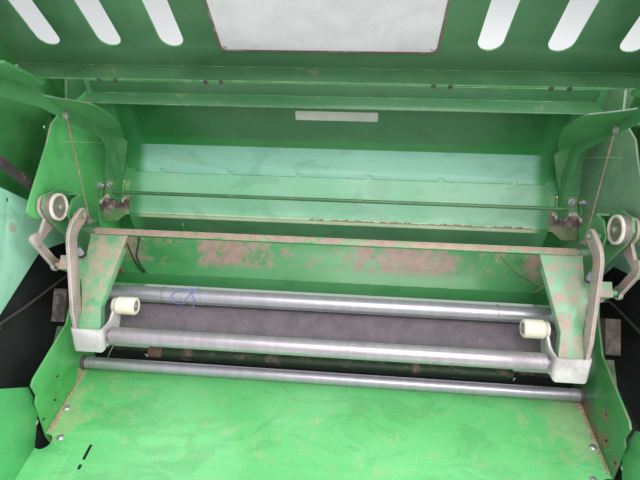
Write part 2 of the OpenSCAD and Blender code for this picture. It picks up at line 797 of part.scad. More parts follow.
link();  // link_right
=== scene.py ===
"""Dresses the net wrap unit of a round baler: paint, dirt, fasteners, rigging and lights.

Every size is in metres, in the frame of the CAD part: +X to the right, +Y into the baler, +Z up,
with the origin in the middle of the bolts that hold the unit to the tailgate.
"""
import json
import logging
import math
from dataclasses import dataclass, field
from enum import Enum
from typing import Any, Iterable, Sequence

import bmesh
import bpy
from mathutils import Matrix, Vector

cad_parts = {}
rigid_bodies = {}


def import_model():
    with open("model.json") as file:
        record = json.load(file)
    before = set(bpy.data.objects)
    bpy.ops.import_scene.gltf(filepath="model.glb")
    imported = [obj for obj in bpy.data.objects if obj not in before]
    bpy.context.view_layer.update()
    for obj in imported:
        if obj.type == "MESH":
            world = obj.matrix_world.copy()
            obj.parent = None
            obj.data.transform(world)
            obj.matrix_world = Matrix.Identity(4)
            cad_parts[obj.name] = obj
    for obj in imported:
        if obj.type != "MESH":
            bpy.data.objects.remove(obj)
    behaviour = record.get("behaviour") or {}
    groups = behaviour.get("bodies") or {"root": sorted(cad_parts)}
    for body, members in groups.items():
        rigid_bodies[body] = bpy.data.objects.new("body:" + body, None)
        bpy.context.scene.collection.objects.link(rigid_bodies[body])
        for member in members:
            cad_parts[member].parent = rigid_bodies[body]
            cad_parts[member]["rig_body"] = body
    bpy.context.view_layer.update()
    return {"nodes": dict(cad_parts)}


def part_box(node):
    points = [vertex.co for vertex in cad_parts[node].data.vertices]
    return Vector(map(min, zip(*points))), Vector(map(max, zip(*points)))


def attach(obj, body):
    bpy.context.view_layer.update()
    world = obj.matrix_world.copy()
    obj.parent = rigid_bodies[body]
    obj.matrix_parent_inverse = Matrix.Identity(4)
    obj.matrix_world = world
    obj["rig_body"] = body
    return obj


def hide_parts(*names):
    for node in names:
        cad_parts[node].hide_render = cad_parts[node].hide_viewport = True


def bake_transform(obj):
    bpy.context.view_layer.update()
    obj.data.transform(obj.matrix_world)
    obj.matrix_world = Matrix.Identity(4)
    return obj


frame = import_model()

log = logging.getLogger("net_wrap_unit")
logging.basicConfig(level=logging.INFO, format="%(message)s")

Socket = bpy.types.NodeSocket
Colour = tuple[float, float, float]
Point = tuple[float, float, float]
Flat = tuple[float, float]
Spot = tuple[Point, float, float]
Band = tuple[float, Colour, Colour]


class Side(Enum):
    """The two mirrored sides of the unit."""

    LEFT = -1
    RIGHT = 1

    @property
    def word(self) -> str:
        """The ending of this side's node names."""
        return self.name.lower()

    @property
    def outward(self) -> Point:
        """The aim away from the middle of the unit."""
        return self.value, 0.0, 0.0

    @property
    def inward(self) -> Point:
        """The aim towards the middle of the unit."""
        return -self.value, 0.0, 0.0


@dataclass(frozen=True)
class Slope:
    """A sheet that leans about X, by (y, z): its foot, the way along it and the way out of it."""

    foot: Flat
    along: Flat
    out: Flat

    @property
    def normal(self) -> Point:
        """The aim out of the sheet."""
        return 0.0, *self.out

    def at(self, x: float, along: float, out: float = 0.0, lift: float = 0.0) -> Point:
        """A point over the sheet.

        Args:
            x: Place across the unit.
            along: Distance from the foot along the sheet.
            out: Height above the sheet.
            lift: Height straight up.

        Returns:
            The point.
        """
        return (x, self.foot[0] + along * self.along[0] + out * self.out[0],
                self.foot[1] + along * self.along[1] + out * self.out[1] + lift)


def srgb(red: int, green: int, blue: int) -> Colour:
    """A colour read off the photo, as linear light.

    Args:
        red: Red channel, 0 to 255.
        green: Green channel, 0 to 255.
        blue: Blue channel, 0 to 255.

    Returns:
        The linear colour.
    """
    def linear(value: int) -> float:
        """One channel as linear light."""
        v = value / 255
        return v / 12.92 if v <= 0.04045 else ((v + 0.055) / 1.055) ** 2.4

    return linear(red), linear(green), linear(blue)


DRY_DUST = srgb(204, 160, 150)
PALE_DUST = srgb(214, 224, 170)
RUST = srgb(140, 84, 62)

# Places that several details share: x of the right wall's inner face and of a plane just outside
# its outer face, the rollers' axes by (y, z), and the sheets that lean.
WALL_X = 0.655
OUTER_X = 0.6603
LOWER_ROLLER = (-0.442, -0.196)
UPPER_TUBE = (-0.325, -0.038)
RUBBER_ROLLER = (-0.359, -0.109)
REAR_ROLLER = (-0.362, -0.238)
ROLLER_AXES = (LOWER_ROLLER, UPPER_TUBE, RUBBER_ROLLER, REAR_ROLLER)
HOOD_LEAN = math.radians(28)
CRADLE = Slope((-0.125, 0.078), (0.6296, 0.7771), (-0.7771, 0.6296))
TRAY = Slope((-0.446, -0.219), (-0.9965, 0.0837), (0.0837, 0.9965))
DEFLECTOR = Slope((-0.132, -0.003), (-0.7438, -0.6685), (-0.6685, 0.7438))
HOOD = Slope((-0.210, 0.532), (-math.sin(HOOD_LEAN), math.cos(HOOD_LEAN)),
             (-math.cos(HOOD_LEAN), -math.sin(HOOD_LEAN)))


def dimmed(colour: Colour, share: float) -> Colour:
    """A colour with a share of its light."""
    return tuple(share * channel for channel in colour)


# ---------------------------------------------------------------------------------------------
# Shader helper
# ---------------------------------------------------------------------------------------------
class ShaderGraph:
    """Adds nodes to one material, reads Object coordinates and ends in a Principled shader."""

    def __init__(self, name: str) -> None:
        """Starts an empty material.

        Args:
            name: Name of the material.
        """
        self.material = bpy.data.materials.new(name)
        self.material.use_nodes = True
        self.nodes = self.material.node_tree.nodes
        self.links = self.material.node_tree.links
        self.nodes.clear()
        self.shader = self.nodes.new("ShaderNodeBsdfPrincipled")
        output = self.nodes.new("ShaderNodeOutputMaterial")
        self.links.new(self.shader.outputs[0], output.inputs[0])
        self.place = self.nodes.new("ShaderNodeTexCoord").outputs["Object"]
        self.geometry = self.nodes.new("ShaderNodeNewGeometry")

    def _feed(self, socket: Socket, value: Any) -> None:
        """Links a socket into an input, or sets the input to a plain value."""
        if isinstance(value, bpy.types.NodeSocket):
            self.links.new(value, socket)
        elif isinstance(value, tuple) and len(value) == 3 and socket.type == "RGBA":
            socket.default_value = (*value, 1.0)
        else:
            socket.default_value = value

    def noise(self, scale: float, detail: float = 3.0, rough: float = 0.55,
              bend: float = 0.0, stretch: Point = (1, 1, 1), shift: float = 0.0) -> Socket:
        """A noise value over the piece.

        Args:
            scale: Patches per metre.
            detail: Octaves.
            rough: Weight of the finer octaves.
            bend: Distortion of the patches.
            stretch: Scale along each axis.
            shift: Moves the pattern, so that two layers differ.

        Returns:
            The value, about 0.3 to 0.7 for the most part.
        """
        node = self.nodes.new("ShaderNodeTexNoise")
        mapping = self.nodes.new("ShaderNodeMapping")
        self.links.new(self.place, mapping.inputs["Vector"])
        mapping.inputs["Scale"].default_value = stretch
        mapping.inputs["Location"].default_value = (shift, 0.37 * shift, 0.61 * shift)
        self.links.new(mapping.outputs[0], node.inputs["Vector"])
        for key, value in (("Scale", scale), ("Detail", detail), ("Roughness", rough),
                           ("Distortion", bend)):
            node.inputs[key].default_value = value
        return node.outputs[0]

    def step(self, value: Socket, low: float, high: float) -> Socket:
        """A smooth step over a value.

        Args:
            value: The value.
            low: Where the step starts, at 0.
            high: Where it ends, at 1.

        Returns:
            The step's height.
        """
        node = self.nodes.new("ShaderNodeMapRange")
        node.interpolation_type = "SMOOTHSTEP"
        self._feed(node.inputs["Value"], value)
        node.inputs["From Min"].default_value = low
        node.inputs["From Max"].default_value = high
        return node.outputs[0]

    def scaled(self, value: Socket, low: float, high: float) -> Socket:
        """Maps 0 to 1 onto another range.

        Args:
            value: The value.
            low: What 0 becomes.
            high: What 1 becomes.

        Returns:
            The mapped value.
        """
        node = self.nodes.new("ShaderNodeMapRange")
        self._feed(node.inputs["Value"], value)
        node.inputs["To Min"].default_value = low
        node.inputs["To Max"].default_value = high
        return node.outputs[0]

    def maths(self, operation: str, first: Any, second: Any = 0.0) -> Socket:
        """One step of arithmetic.

        Args:
            operation: Name of the operation.
            first: Value or socket.
            second: Value or socket.

        Returns:
            The result.
        """
        node = self.nodes.new("ShaderNodeMath")
        node.operation = operation
        self._feed(node.inputs[0], first)
        self._feed(node.inputs[1], second)
        return node.outputs[0]

    def mix(self, share: Any, first: Any, second: Any, blend: str = "MIX") -> Socket:
        """A colour between two others.

        Args:
            share: 0 for the first, 1 for the second.
            first: Colour or socket.
            second: Colour or socket.
            blend: Blend mode of the node.

        Returns:
            The mixed colour.
        """
        node = self.nodes.new("ShaderNodeMix")
        node.data_type = "RGBA"
        node.blend_type = blend
        self._feed(node.inputs[0], share)
        self._feed(node.inputs[6], first)
        self._feed(node.inputs[7], second)
        return node.outputs[2]

    def axis(self, which: int, normal: bool = False) -> Socket:
        """One component of the place or of the surface's normal.

        Args:
            which: 0, 1 or 2 for X, Y or Z.
            normal: Reads the normal.

        Returns:
            The component.
        """
        split = self.nodes.new("ShaderNodeSeparateXYZ")
        self.links.new(self.geometry.outputs["Normal"] if normal else self.place, split.inputs[0])
        return split.outputs[which]

    def near(self, point: Point, radius: float) -> Socket:
        """1 at a point, falling smoothly with the distance from it.

        Args:
            point: The point.
            radius: Distance at which 0 is reached.

        Returns:
            The nearness.
        """
        away = self.nodes.new("ShaderNodeVectorMath")
        away.operation = "DISTANCE"
        self.links.new(self.place, away.inputs[0])
        away.inputs[1].default_value = point
        return self.scaled(self.step(away.outputs["Value"], 0.25 * radius, radius), 1.0, 0.0)

    def bump(self, height: Socket, strength: float, depth: float) -> None:
        """Adds a bump to the shader's normal, after any bump that it has.

        Args:
            height: Height of the surface.
            strength: Share of the bump that shows.
            depth: Height in metres that 1 stands for.
        """
        node = self.nodes.new("ShaderNodeBump")
        self._feed(node.inputs["Height"], height)
        node.inputs["Strength"].default_value = strength
        node.inputs["Distance"].default_value = depth
        held = self.shader.inputs["Normal"]
        if held.is_linked:
            self.links.new(held.links[0].from_socket, node.inputs["Normal"])
        self.links.new(node.outputs[0], held)

    def finish(self, colour: Any, rough: Any, metal: float = 0.0, coat: float = 0.0,
               specular: float = 0.5) -> bpy.types.Material:
        """Sets the shader's sockets and gives the material.

        Args:
            colour: Base colour or socket.
            rough: Roughness or socket.
            metal: Metallic share, the same all over.
            coat: Clear coat, the same all over.
            specular: Specular level, the same all over.

        Returns:
            The finished material.
        """
        self._feed(self.shader.inputs["Base Color"], colour)
        self._feed(self.shader.inputs["Roughness"], rough)
        self.shader.inputs["Metallic"].default_value = metal
        self.shader.inputs["Coat Weight"].default_value = coat
        self.shader.inputs["Coat Roughness"].default_value = 0.18
        self.shader.inputs["Specular IOR Level"].default_value = specular
        return self.material


# ---------------------------------------------------------------------------------------------
# Finishes
# ---------------------------------------------------------------------------------------------
@dataclass(frozen=True)
class Paint:
    """Gloss paint on sheet steel: faded areas, scratches, and crop dust that lies as fine grains.

    Bands are (height, colour, faded colour), each from that height up. Ends is the same beyond a
    distance from the middle. On several sheets the bands and ends are painted shade and painted
    reflection. Spots are (point, radius, strength), where more or less dust lies than elsewhere.
    Dust_from is the height below which no dust lies.
    """

    name: str
    colour: Colour
    faded: Colour
    dust: float = 0.2
    patch: float = 20.0
    dust_colour: Colour = DRY_DUST
    specks: float = 0.3
    speckle: float = 0.665
    rough: float = 0.34
    coat: float = 0.3
    thick: float = 0.72
    soft: float = 0.10
    settle: float = 0.12
    bands: tuple[Band, ...] = ()
    blend: float = 0.0015
    ends: Band | None = None
    end_blend: float = 0.016
    spots: tuple[Spot, ...] = ()
    dust_from: float | None = None
    dust_blend: float = 0.012

    def make(self) -> bpy.types.Material:
        """Builds the paint's material.

        Returns:
            The material.
        """
        g = ShaderGraph(self.name)
        broad = g.step(g.noise(2.6, 3, 0.5, 0.5), 0.36, 0.64)
        base = g.mix(broad, self.colour, self.faded)
        for level, colour, faded in self.bands:
            above = g.step(g.axis(2), level - self.blend, level + self.blend)
            base = g.mix(above, base, g.mix(broad, colour, faded))
        if self.ends:
            away, colour, faded = self.ends
            beyond = g.step(g.maths("ABSOLUTE", g.axis(0)), away - self.end_blend,
                            away + self.end_blend)
            base = g.mix(beyond, base, g.mix(broad, colour, faded))
        smear = g.step(g.noise(7, 4, 0.6, 0.9, (1, 1.8, 1.8), 7), 0.50, 0.62)
        base = g.mix(g.scaled(smear, 0, 0.2), base, (0.30, 0.34, 0.30), "MULTIPLY")
        scratch = g.step(g.noise(30, 3, 0.6, 0.2, (1, 14, 14), 3), 0.665, 0.69)
        base = g.mix(g.scaled(scratch, 0, 0.6), base, (1.4, 1.4, 1.35), "MULTIPLY")
        grain = g.noise(600, 2, 0.6, shift=5)
        up = g.step(g.axis(2, normal=True), -0.2, 0.9)
        lie = g.maths("ADD", g.noise(self.patch, 5, 0.68, 0.5, shift=11),
                      g.scaled(up, -0.6 * self.settle, 0.4 * self.settle))
        for place, radius, strength in self.spots:
            lie = g.maths("ADD", lie, g.scaled(g.near(place, radius), 0, strength))
        edge = 0.72 - 0.30 * self.dust
        film = g.step(lie, edge - self.soft, edge + self.soft)
        if self.dust_from is not None:
            above = g.step(g.axis(2), self.dust_from - self.dust_blend,
                           self.dust_from + self.dust_blend)
            film = g.maths("MULTIPLY", film, above)
        grains = g.maths("MULTIPLY", film, g.scaled(g.step(grain, 0.36, 0.64), 0.55, 1.0))
        fine = g.step(g.noise(260, 3, 0.7, shift=21), self.speckle, self.speckle + 0.035)
        share = g.maths("MAXIMUM", g.scaled(grains, 0, self.thick), g.scaled(fine, 0, self.specks))
        tint = g.mix(g.step(g.noise(46, 3, 0.6, shift=2), 0.35, 0.65), self.dust_colour,
                     dimmed(self.dust_colour, 0.80))
        base = g.mix(share, base, tint)
        g.bump(g.maths("ADD", g.scaled(grain, 0, 0.3), share), 0.22, 0.0009)
        return g.finish(base, g.scaled(g.maths("MAXIMUM", share, film), self.rough, 0.8),
                        coat=self.coat)


@dataclass(frozen=True)
class WornEdge:
    """Sheet edge where the paint is rubbed pale and dust has settled."""

    name: str
    paint: Colour
    bare: Colour
    worn: float = 0.5

    def make(self) -> bpy.types.Material:
        """Builds the edge's material.

        Returns:
            The material.
        """
        g = ShaderGraph(self.name)
        rub = g.noise(34, 7, 0.65, 0.4)
        edge = 0.62 - 0.3 * self.worn
        share = g.step(rub, edge, edge + 0.08)
        tint = g.mix(g.noise(220, 3, 0.6, shift=4), self.bare, dimmed(self.bare, 0.6))
        base = g.mix(share, self.paint, tint)
        g.bump(rub, 0.2, 0.0006)
        return g.finish(base, g.scaled(share, 0.4, 0.65))


@dataclass(frozen=True)
class PolishedSteel:
    """Roller tube rubbed bright by the net: rings round it, brown grime towards its ends."""

    name: str
    bright: Colour = srgb(206, 202, 214)
    grime: Colour = srgb(112, 98, 100)
    grime_from: float = 0.42
    grime_to: float = 0.62
    level: float = 0.25

    def make(self) -> bpy.types.Material:
        """Builds the tube's material.

        Returns:
            The material.
        """
        g = ShaderGraph(self.name)
        rings = g.noise(34, 3, 0.6, stretch=(2.0, 0.04, 0.04))
        marks = g.noise(16, 5, 0.65, 0.5, (1, 2.0, 2.0), 4)
        away = g.step(g.maths("ABSOLUTE", g.axis(0)), self.grime_from, self.grime_to)
        share = g.maths("ADD", g.scaled(away, 0, 0.30), g.scaled(marks, 0, self.level * 1.6))
        share = g.step(share, 0.26, 0.95)
        base = g.mix(g.step(rings, 0.3, 0.7), self.bright, dimmed(self.bright, 0.88))
        pits = g.step(g.noise(210, 3, 0.7, shift=9), 0.5, 0.66)
        base = g.mix(g.maths("MULTIPLY", share, g.scaled(pits, 0.6, 1.0)), base, self.grime)
        rough = g.scaled(g.maths("MAXIMUM", share, g.scaled(rings, 0, 0.2)), 0.3, 0.66)
        g.bump(rings, 0.04, 0.0003)
        g.bump(pits, 0.06, 0.0003)
        return g.finish(base, rough, metal=0.6)


@dataclass(frozen=True)
class GreyCoat:
    """Dull grey coat on levers, straps and brackets, dusted pink brown and rubbed at places."""

    name: str
    colour: Colour
    dust: float = 0.5

    def make(self) -> bpy.types.Material:
        """Builds the coat's material.

        Returns:
            The material.
        """
        g = ShaderGraph(self.name)
        broad = g.noise(14, 6, 0.6, 0.6)
        base = g.mix(g.step(broad, 0.35, 0.65), self.colour, dimmed(self.colour, 0.68))
        dusty = g.step(g.noise(22, 8, 0.7, 0.5, shift=5), 0.62 - 0.25 * self.dust,
                       0.72 - 0.2 * self.dust)
        base = g.mix(g.scaled(dusty, 0, 0.75), base, DRY_DUST)
        pits = g.step(g.noise(150, 5, 0.7, shift=8), 0.62, 0.68)
        base = g.mix(g.scaled(pits, 0, 0.6), base, srgb(96, 84, 80))
        g.bump(g.noise(300, 4, 0.6), 0.2, 0.0007)
        return g.finish(base, g.scaled(dusty, 0.45, 0.85), metal=0.15)


@dataclass(frozen=True)
class Rubber:
    """Black rubber sleeve, scuffed and powdered with dust."""

    name: str

    def make(self) -> bpy.types.Material:
        """Builds the sleeve's material.

        Returns:
            The material.
        """
        g = ShaderGraph(self.name)
        scuffs = g.noise(24, 5, 0.7, 0.3)
        base = g.mix(g.step(scuffs, 0.3, 0.7), srgb(106, 97, 106), srgb(124, 113, 119))
        specks = g.step(g.noise(230, 3, 0.7, shift=3), 0.66, 0.69)
        base = g.mix(g.scaled(specks, 0, 0.6), base, srgb(206, 186, 178))
        g.bump(g.noise(180, 5, 0.65, shift=5), 0.35, 0.001)
        g.bump(scuffs, 0.12, 0.0012)
        return g.finish(base, g.scaled(scuffs, 0.7, 0.95), specular=0.3)


@dataclass(frozen=True)
class Moulded:
    """Cream moulded plastic of the guide rollers, or another plain moulding."""

    name: str
    colour: Colour
    stain: Colour

    def make(self) -> bpy.types.Material:
        """Builds the plastic's material.

        Returns:
            The material.
        """
        g = ShaderGraph(self.name)
        tone = g.noise(30, 5, 0.6, 0.5)
        base = g.mix(g.step(tone, 0.35, 0.7), self.colour, self.stain)
        spots = g.step(g.noise(200, 5, 0.7, shift=2), 0.6, 0.68)
        base = g.mix(g.scaled(spots, 0, 0.4), base, srgb(120, 96, 74))
        g.bump(g.noise(240, 4, 0.6), 0.12, 0.0006)
        g.shader.inputs["Subsurface Weight"].default_value = 0.05
        g.shader.inputs["Subsurface Radius"].default_value = (0.004, 0.003, 0.002)
        return g.finish(base, g.scaled(tone, 0.4, 0.6))


@dataclass(frozen=True)
class Metal:
    """Bare or plated metal with spots: fasteners, pins, wire and worn faces."""

    name: str
    colour: Colour
    spots: Colour = RUST
    spotted: float = 0.25
    rough: float = 0.32
    metal: float = 0.9

    def make(self) -> bpy.types.Material:
        """Builds the metal's material.

        Returns:
            The material.
        """
        g = ShaderGraph(self.name)
        tone = g.noise(120, 5, 0.6)
        base = g.mix(g.step(tone, 0.35, 0.65), self.colour, dimmed(self.colour, 0.7))
        spot = g.step(g.noise(240, 6, 0.7, 0.4, shift=6), 0.66 - 0.25 * self.spotted,
                      0.7 - 0.22 * self.spotted)
        base = g.mix(g.scaled(spot, 0, 0.85), base, self.spots)
        g.bump(tone, 0.12, 0.0004)
        return g.finish(base, g.scaled(spot, self.rough, 0.8), metal=self.metal)


@dataclass(frozen=True)
class Foil:
    """Blank printed foil: a plate or a sticker with nothing on it, scuffed and a little dirty."""

    name: str
    colour: Colour

    def make(self) -> bpy.types.Material:
        """Builds the foil's material.

        Returns:
            The material.
        """
        g = ShaderGraph(self.name)
        wear = g.noise(9, 8, 0.65, 0.6)
        base = g.mix(g.step(wear, 0.35, 0.7), self.colour, dimmed(self.colour, 0.82))
        smear = g.step(g.noise(24, 8, 0.75, 1.0, (1, 2.5, 2.5), 7), 0.6, 0.7)
        base = g.mix(g.scaled(smear, 0, 0.3), base, srgb(150, 138, 126))
        g.bump(g.noise(60, 3, 0.5, shift=2), 0.1, 0.001)
        return g.finish(base, g.scaled(wear, 0.35, 0.6), coat=0.2)


# Where more dust lies, or less where the strength is below 0.
TRAY_SPOTS = (
    ((-0.628, -0.608, -0.205), 0.07, 0.22), ((-0.632, -0.540, -0.211), 0.06, 0.16),
    ((-0.560, -0.520, -0.213), 0.15, 0.06), ((0.621, -0.473, -0.217), 0.10, 0.16),
    ((0.628, -0.554, -0.210), 0.10, 0.14), ((0.590, -0.480, -0.216), 0.18, 0.08),
    ((0.053, -0.589, -0.207), 0.06, -0.30), ((0.314, -0.567, -0.209), 0.06, -0.30))
LEFT_WALL_SPOTS = (((-WALL_X, -0.470, -0.210), 0.05, 0.30),)
RIGHT_WALL_SPOTS = (
    ((WALL_X, -0.532, -0.131), 0.030, 0.52), ((WALL_X, -0.573, -0.172), 0.026, 0.52),
    ((WALL_X, -0.625, -0.170), 0.026, 0.52), ((WALL_X, -0.470, -0.205), 0.06, 0.48),
    ((WALL_X, -0.540, -0.200), 0.05, 0.40))
DEFLECTOR_SPOTS = (
    ((-0.330, -0.160, -0.028), 0.10, 0.20), ((-0.230, -0.166, -0.034), 0.08, 0.16),
    ((0.130, -0.150, -0.020), 0.13, 0.16), ((0.270, -0.156, -0.025), 0.12, 0.20),
    ((0.580, -0.164, -0.031), 0.08, 0.14), ((-0.590, -0.163, -0.031), 0.08, 0.14))
COVER_SPOTS = (((-0.724, -0.366, 0.206), 0.026, 0.44),)


class Finish(Enum):
    """Every finish of the unit, by what it is on."""

    TRAY_PAINT = Paint("tray_paint", srgb(104, 204, 122), srgb(126, 216, 144), 0.14, 26,
                       srgb(204, 198, 156), 0.65, 0.60, rough=0.42, thick=0.5, spots=TRAY_SPOTS)
    WING_PAINT = Paint("wing_paint", srgb(86, 186, 108), srgb(106, 200, 130), 0.1, 24, PALE_DUST,
                       0.4, rough=0.4)
    # From z 0.388 up the wall turns dark green: painted shade at its top under the hood.
    WALL_PAINT = Paint("wall_paint", srgb(82, 176, 92), srgb(102, 188, 114), 0.12, 16, settle=0.35,
                       thick=0.85, soft=0.07,
                       bands=((0.388, srgb(52, 104, 62), srgb(64, 116, 74)),),
                       spots=LEFT_WALL_SPOTS)
    # Right wall: a darker copy of the wall paint, painted shade on its inner face; the greyer,
    # paler band from z 0.03 up is a painted sheen of reflected light.
    SHADED_WALL = Paint("shaded_wall", srgb(62, 132, 72), srgb(78, 144, 88), 0.12, 26,
                        srgb(158, 116, 104), settle=0.35, thick=0.92, soft=0.09, blend=0.09,
                        bands=((0.03, srgb(100, 142, 102), srgb(126, 160, 128)),),
                        spots=RIGHT_WALL_SPOTS)
    HOOD_PAINT = Paint("hood_paint", srgb(70, 116, 78), srgb(84, 130, 90), 0.02, 16, specks=0.2,
                       rough=0.3)
    ARM_PAINT = Paint("arm_paint", srgb(70, 138, 78), srgb(84, 146, 90), 0.2, 18, thick=0.45)
    # Cradle: below z 0.066 dark green, painted shade on the lip's downturned face; from 0.066 a
    # pale band along the lip's top; from 0.0815 pale teal, a painted reflection of the sky on the
    # sloped sheet; from 0.236 dark green again, painted shade under the hood; beyond 0.548 from the
    # middle a plainer green, painted shade near the walls.
    CRADLE_PAINT = Paint("cradle_paint", srgb(66, 118, 78), srgb(86, 136, 96), 0.06, 20, specks=0.5,
                         rough=0.46, coat=0.1,
                         bands=((0.066, srgb(196, 214, 180), srgb(214, 226, 196)),
                                (0.0815, srgb(134, 196, 158), srgb(158, 206, 176)),
                                (0.236, srgb(46, 112, 60), srgb(56, 122, 68))),
                         ends=(0.548, srgb(84, 156, 102), srgb(98, 166, 116)))
    # Back panel: the pale teal below z 0.238 is a painted reflection of the sky; the darker greens
    # from 0.238 and 0.262 up are painted shade under the hood, and so is the darker green beyond
    # 0.540 from the middle.
    BACK_PAINT = Paint("back_paint", srgb(138, 196, 172), srgb(150, 202, 180), 0.02, 12,
                       specks=0.15, rough=0.34, coat=0.2,
                       bands=((0.238, srgb(46, 130, 62), srgb(52, 136, 68)),
                              (0.262, srgb(46, 114, 60), srgb(58, 126, 72))),
                       ends=(0.540, srgb(62, 140, 80), srgb(70, 148, 88)))
    FLANGE_PAINT = Paint("flange_paint", srgb(60, 114, 72), srgb(74, 126, 84), 0.08, 12, specks=0.2)
    DEFLECTOR_PAINT = Paint("deflector_paint", srgb(76, 158, 92), srgb(96, 168, 110), 0.32, 26,
                            srgb(208, 152, 158), specks=0.5, thick=0.92, settle=0.06,
                            dust_from=-0.052, spots=DEFLECTOR_SPOTS)
    FRAME_PAINT = Paint("frame_paint", srgb(108, 178, 128), srgb(136, 196, 156), 0.54, 24,
                        srgb(222, 164, 164), specks=0.6, speckle=0.62, thick=0.95, soft=0.13)
    BAR_PAINT = Paint("bar_paint", srgb(80, 156, 94), srgb(108, 176, 118), 0.42, 20,
                      srgb(210, 152, 156), thick=0.92, soft=0.08, settle=0.50)
    ROD_PAINT = Paint("rod_paint", srgb(64, 112, 72), srgb(84, 128, 86), 0.1, 16)
    GUSSET_PAINT = Paint("gusset_paint", srgb(64, 136, 76), srgb(84, 152, 96), 0.36, 22)
    # Hinge bracket: dusty green; from z 0.086 a dark band, partly dirt and partly painted shade;
    # from 0.1085 a thin pale line; from 0.117 green.
    BRACKET_DIRT = Paint("bracket_dirt", srgb(96, 140, 90), srgb(128, 150, 112), 0.46, 40,
                         rough=0.5, coat=0,
                         bands=((0.086, srgb(98, 80, 84), srgb(122, 102, 102)),
                                (0.1085, srgb(226, 208, 204), srgb(240, 228, 224)),
                                (0.117, srgb(86, 160, 96), srgb(96, 168, 106))))
    COVER_PAINT = Paint("cover_paint", srgb(166, 232, 202), srgb(190, 240, 218), 0.06, 12,
                        specks=0.15, rough=0.45, thick=0.9, spots=COVER_SPOTS)
    SHELL_PAINT = Paint("shell_paint", srgb(62, 126, 68), srgb(74, 140, 80), 0.1, 12, specks=0.2)
    PLATE_DIRT = Paint("plate_dirt", srgb(58, 92, 62), srgb(76, 112, 78), 0.5, 26,
                       srgb(150, 132, 122), rough=0.6, coat=0,
                       bands=((-0.066, srgb(62, 52, 50), srgb(84, 70, 66)),))
    # Near-black for sheets that stand where the view would otherwise reach the pale floor or
    # backdrop: painted shade.
    GUARD = Paint("guard_black", srgb(24, 27, 28), srgb(34, 36, 36), 0.02, 12, specks=0.1,
                  rough=0.7, coat=0)
    WALL_EDGE = WornEdge("wall_edge", srgb(104, 160, 102), srgb(190, 158, 146), 0.55)
    PALE_EDGE = WornEdge("pale_edge", srgb(112, 176, 116), srgb(204, 208, 170), 0.5)
    DARK_EDGE = WornEdge("dark_edge", srgb(78, 146, 86), srgb(150, 182, 132), 0.4)
    TRAY_EDGE = WornEdge("tray_edge", srgb(136, 212, 144), srgb(216, 236, 190), 0.6)
    GREY_EDGE = WornEdge("grey_edge", srgb(206, 198, 196), srgb(244, 238, 234), 0.7)
    FRAME_RIM = WornEdge("plate_rim", srgb(120, 92, 86), srgb(160, 140, 132), 0.4)
    REAR_TUBE = Paint("rear_tube_paint", srgb(52, 78, 56), srgb(66, 92, 68), 0.25, 24, rough=0.5,
                      coat=0)
    ROLLER_STEEL = PolishedSteel("roller_steel", srgb(196, 190, 202), srgb(104, 92, 96))
    DULL_STEEL = PolishedSteel("dull_steel", srgb(196, 188, 196), srgb(140, 126, 128), 0.3, 0.55,
                               0.5)
    GREY_COAT = GreyCoat("grey_coat", srgb(206, 186, 180), 0.45)
    BRACKET_COAT = GreyCoat("bracket_coat", srgb(242, 232, 234), 0.2)
    DISC_FACE = GreyCoat("disc_face", srgb(150, 134, 128), 0.35)
    DISC_RIM = Moulded("disc_rim", srgb(244, 236, 226), srgb(214, 200, 188))
    RUBBER = Rubber("rubber_sleeve")
    CREAM = Moulded("cream_plastic", srgb(254, 246, 232), srgb(248, 232, 204))
    STRUT_PAINT = Paint("strut_paint", srgb(58, 48, 52), srgb(80, 66, 66), 0.34, 40, rough=0.5,
                        coat=0)
    ZINC = Metal("zinc_plate", srgb(214, 212, 218), spotted=0.1, rough=0.3, metal=0.7)
    DULL_ZINC = Metal("dull_zinc", srgb(176, 166, 162), DRY_DUST, 0.5, 0.5, 0.4)
    ROD_CHROME = Metal("rod_chrome", srgb(214, 214, 214), spotted=0.1, rough=0.18)
    WIRE = Metal("wire_rope", srgb(186, 164, 138), RUST, 0.5, 0.55, 0.3)
    RUSTY = Metal("rusty_fitting", srgb(168, 148, 122), srgb(140, 100, 78), 0.5, 0.75, 0.1)
    DARK_METAL = Metal("dark_metal", srgb(74, 76, 76), srgb(130, 112, 104), 0.35, 0.5, 0.4)
    COLLAR_STEEL = Metal("collar_steel", srgb(128, 122, 128), srgb(150, 124, 112), 0.35, 0.45, 0.5)
    DARK_ROD = Metal("dark_rod", srgb(84, 76, 76), srgb(120, 100, 92), 0.4, 0.6, 0.2)
    DIRT = Metal("dry_dirt", srgb(142, 112, 98), srgb(176, 148, 134), 0.5, 0.85, 0.0)
    LIP_DIRT = Metal("lip_dirt", srgb(150, 112, 94), srgb(206, 188, 168), 0.6, 0.85, 0.0)
    SEAM_DIRT = Metal("seam_dirt", srgb(186, 150, 130), srgb(222, 192, 170), 0.6, 0.85, 0.0)
    BLACK_CABLE = Moulded("black_cable", srgb(30, 32, 32), srgb(46, 44, 44))
    NET_BLUE = Moulded("net_strand", srgb(104, 112, 196), srgb(160, 164, 226))
    STRAW = Moulded("straw", srgb(206, 188, 128), srgb(170, 150, 96))
    PLATE_FOIL = Foil("blank_plate_foil", srgb(232, 226, 232))
    STICKER = Foil("blank_sticker", srgb(214, 214, 204))
    GREY_LABEL = Foil("grey_label", srgb(170, 164, 186))


_made: dict[Finish, bpy.types.Material] = {}


def material(finish: Finish) -> bpy.types.Material:
    """The finish's material, built once."""
    if finish not in _made:
        _made[finish] = finish.value.make()
    return _made[finish]


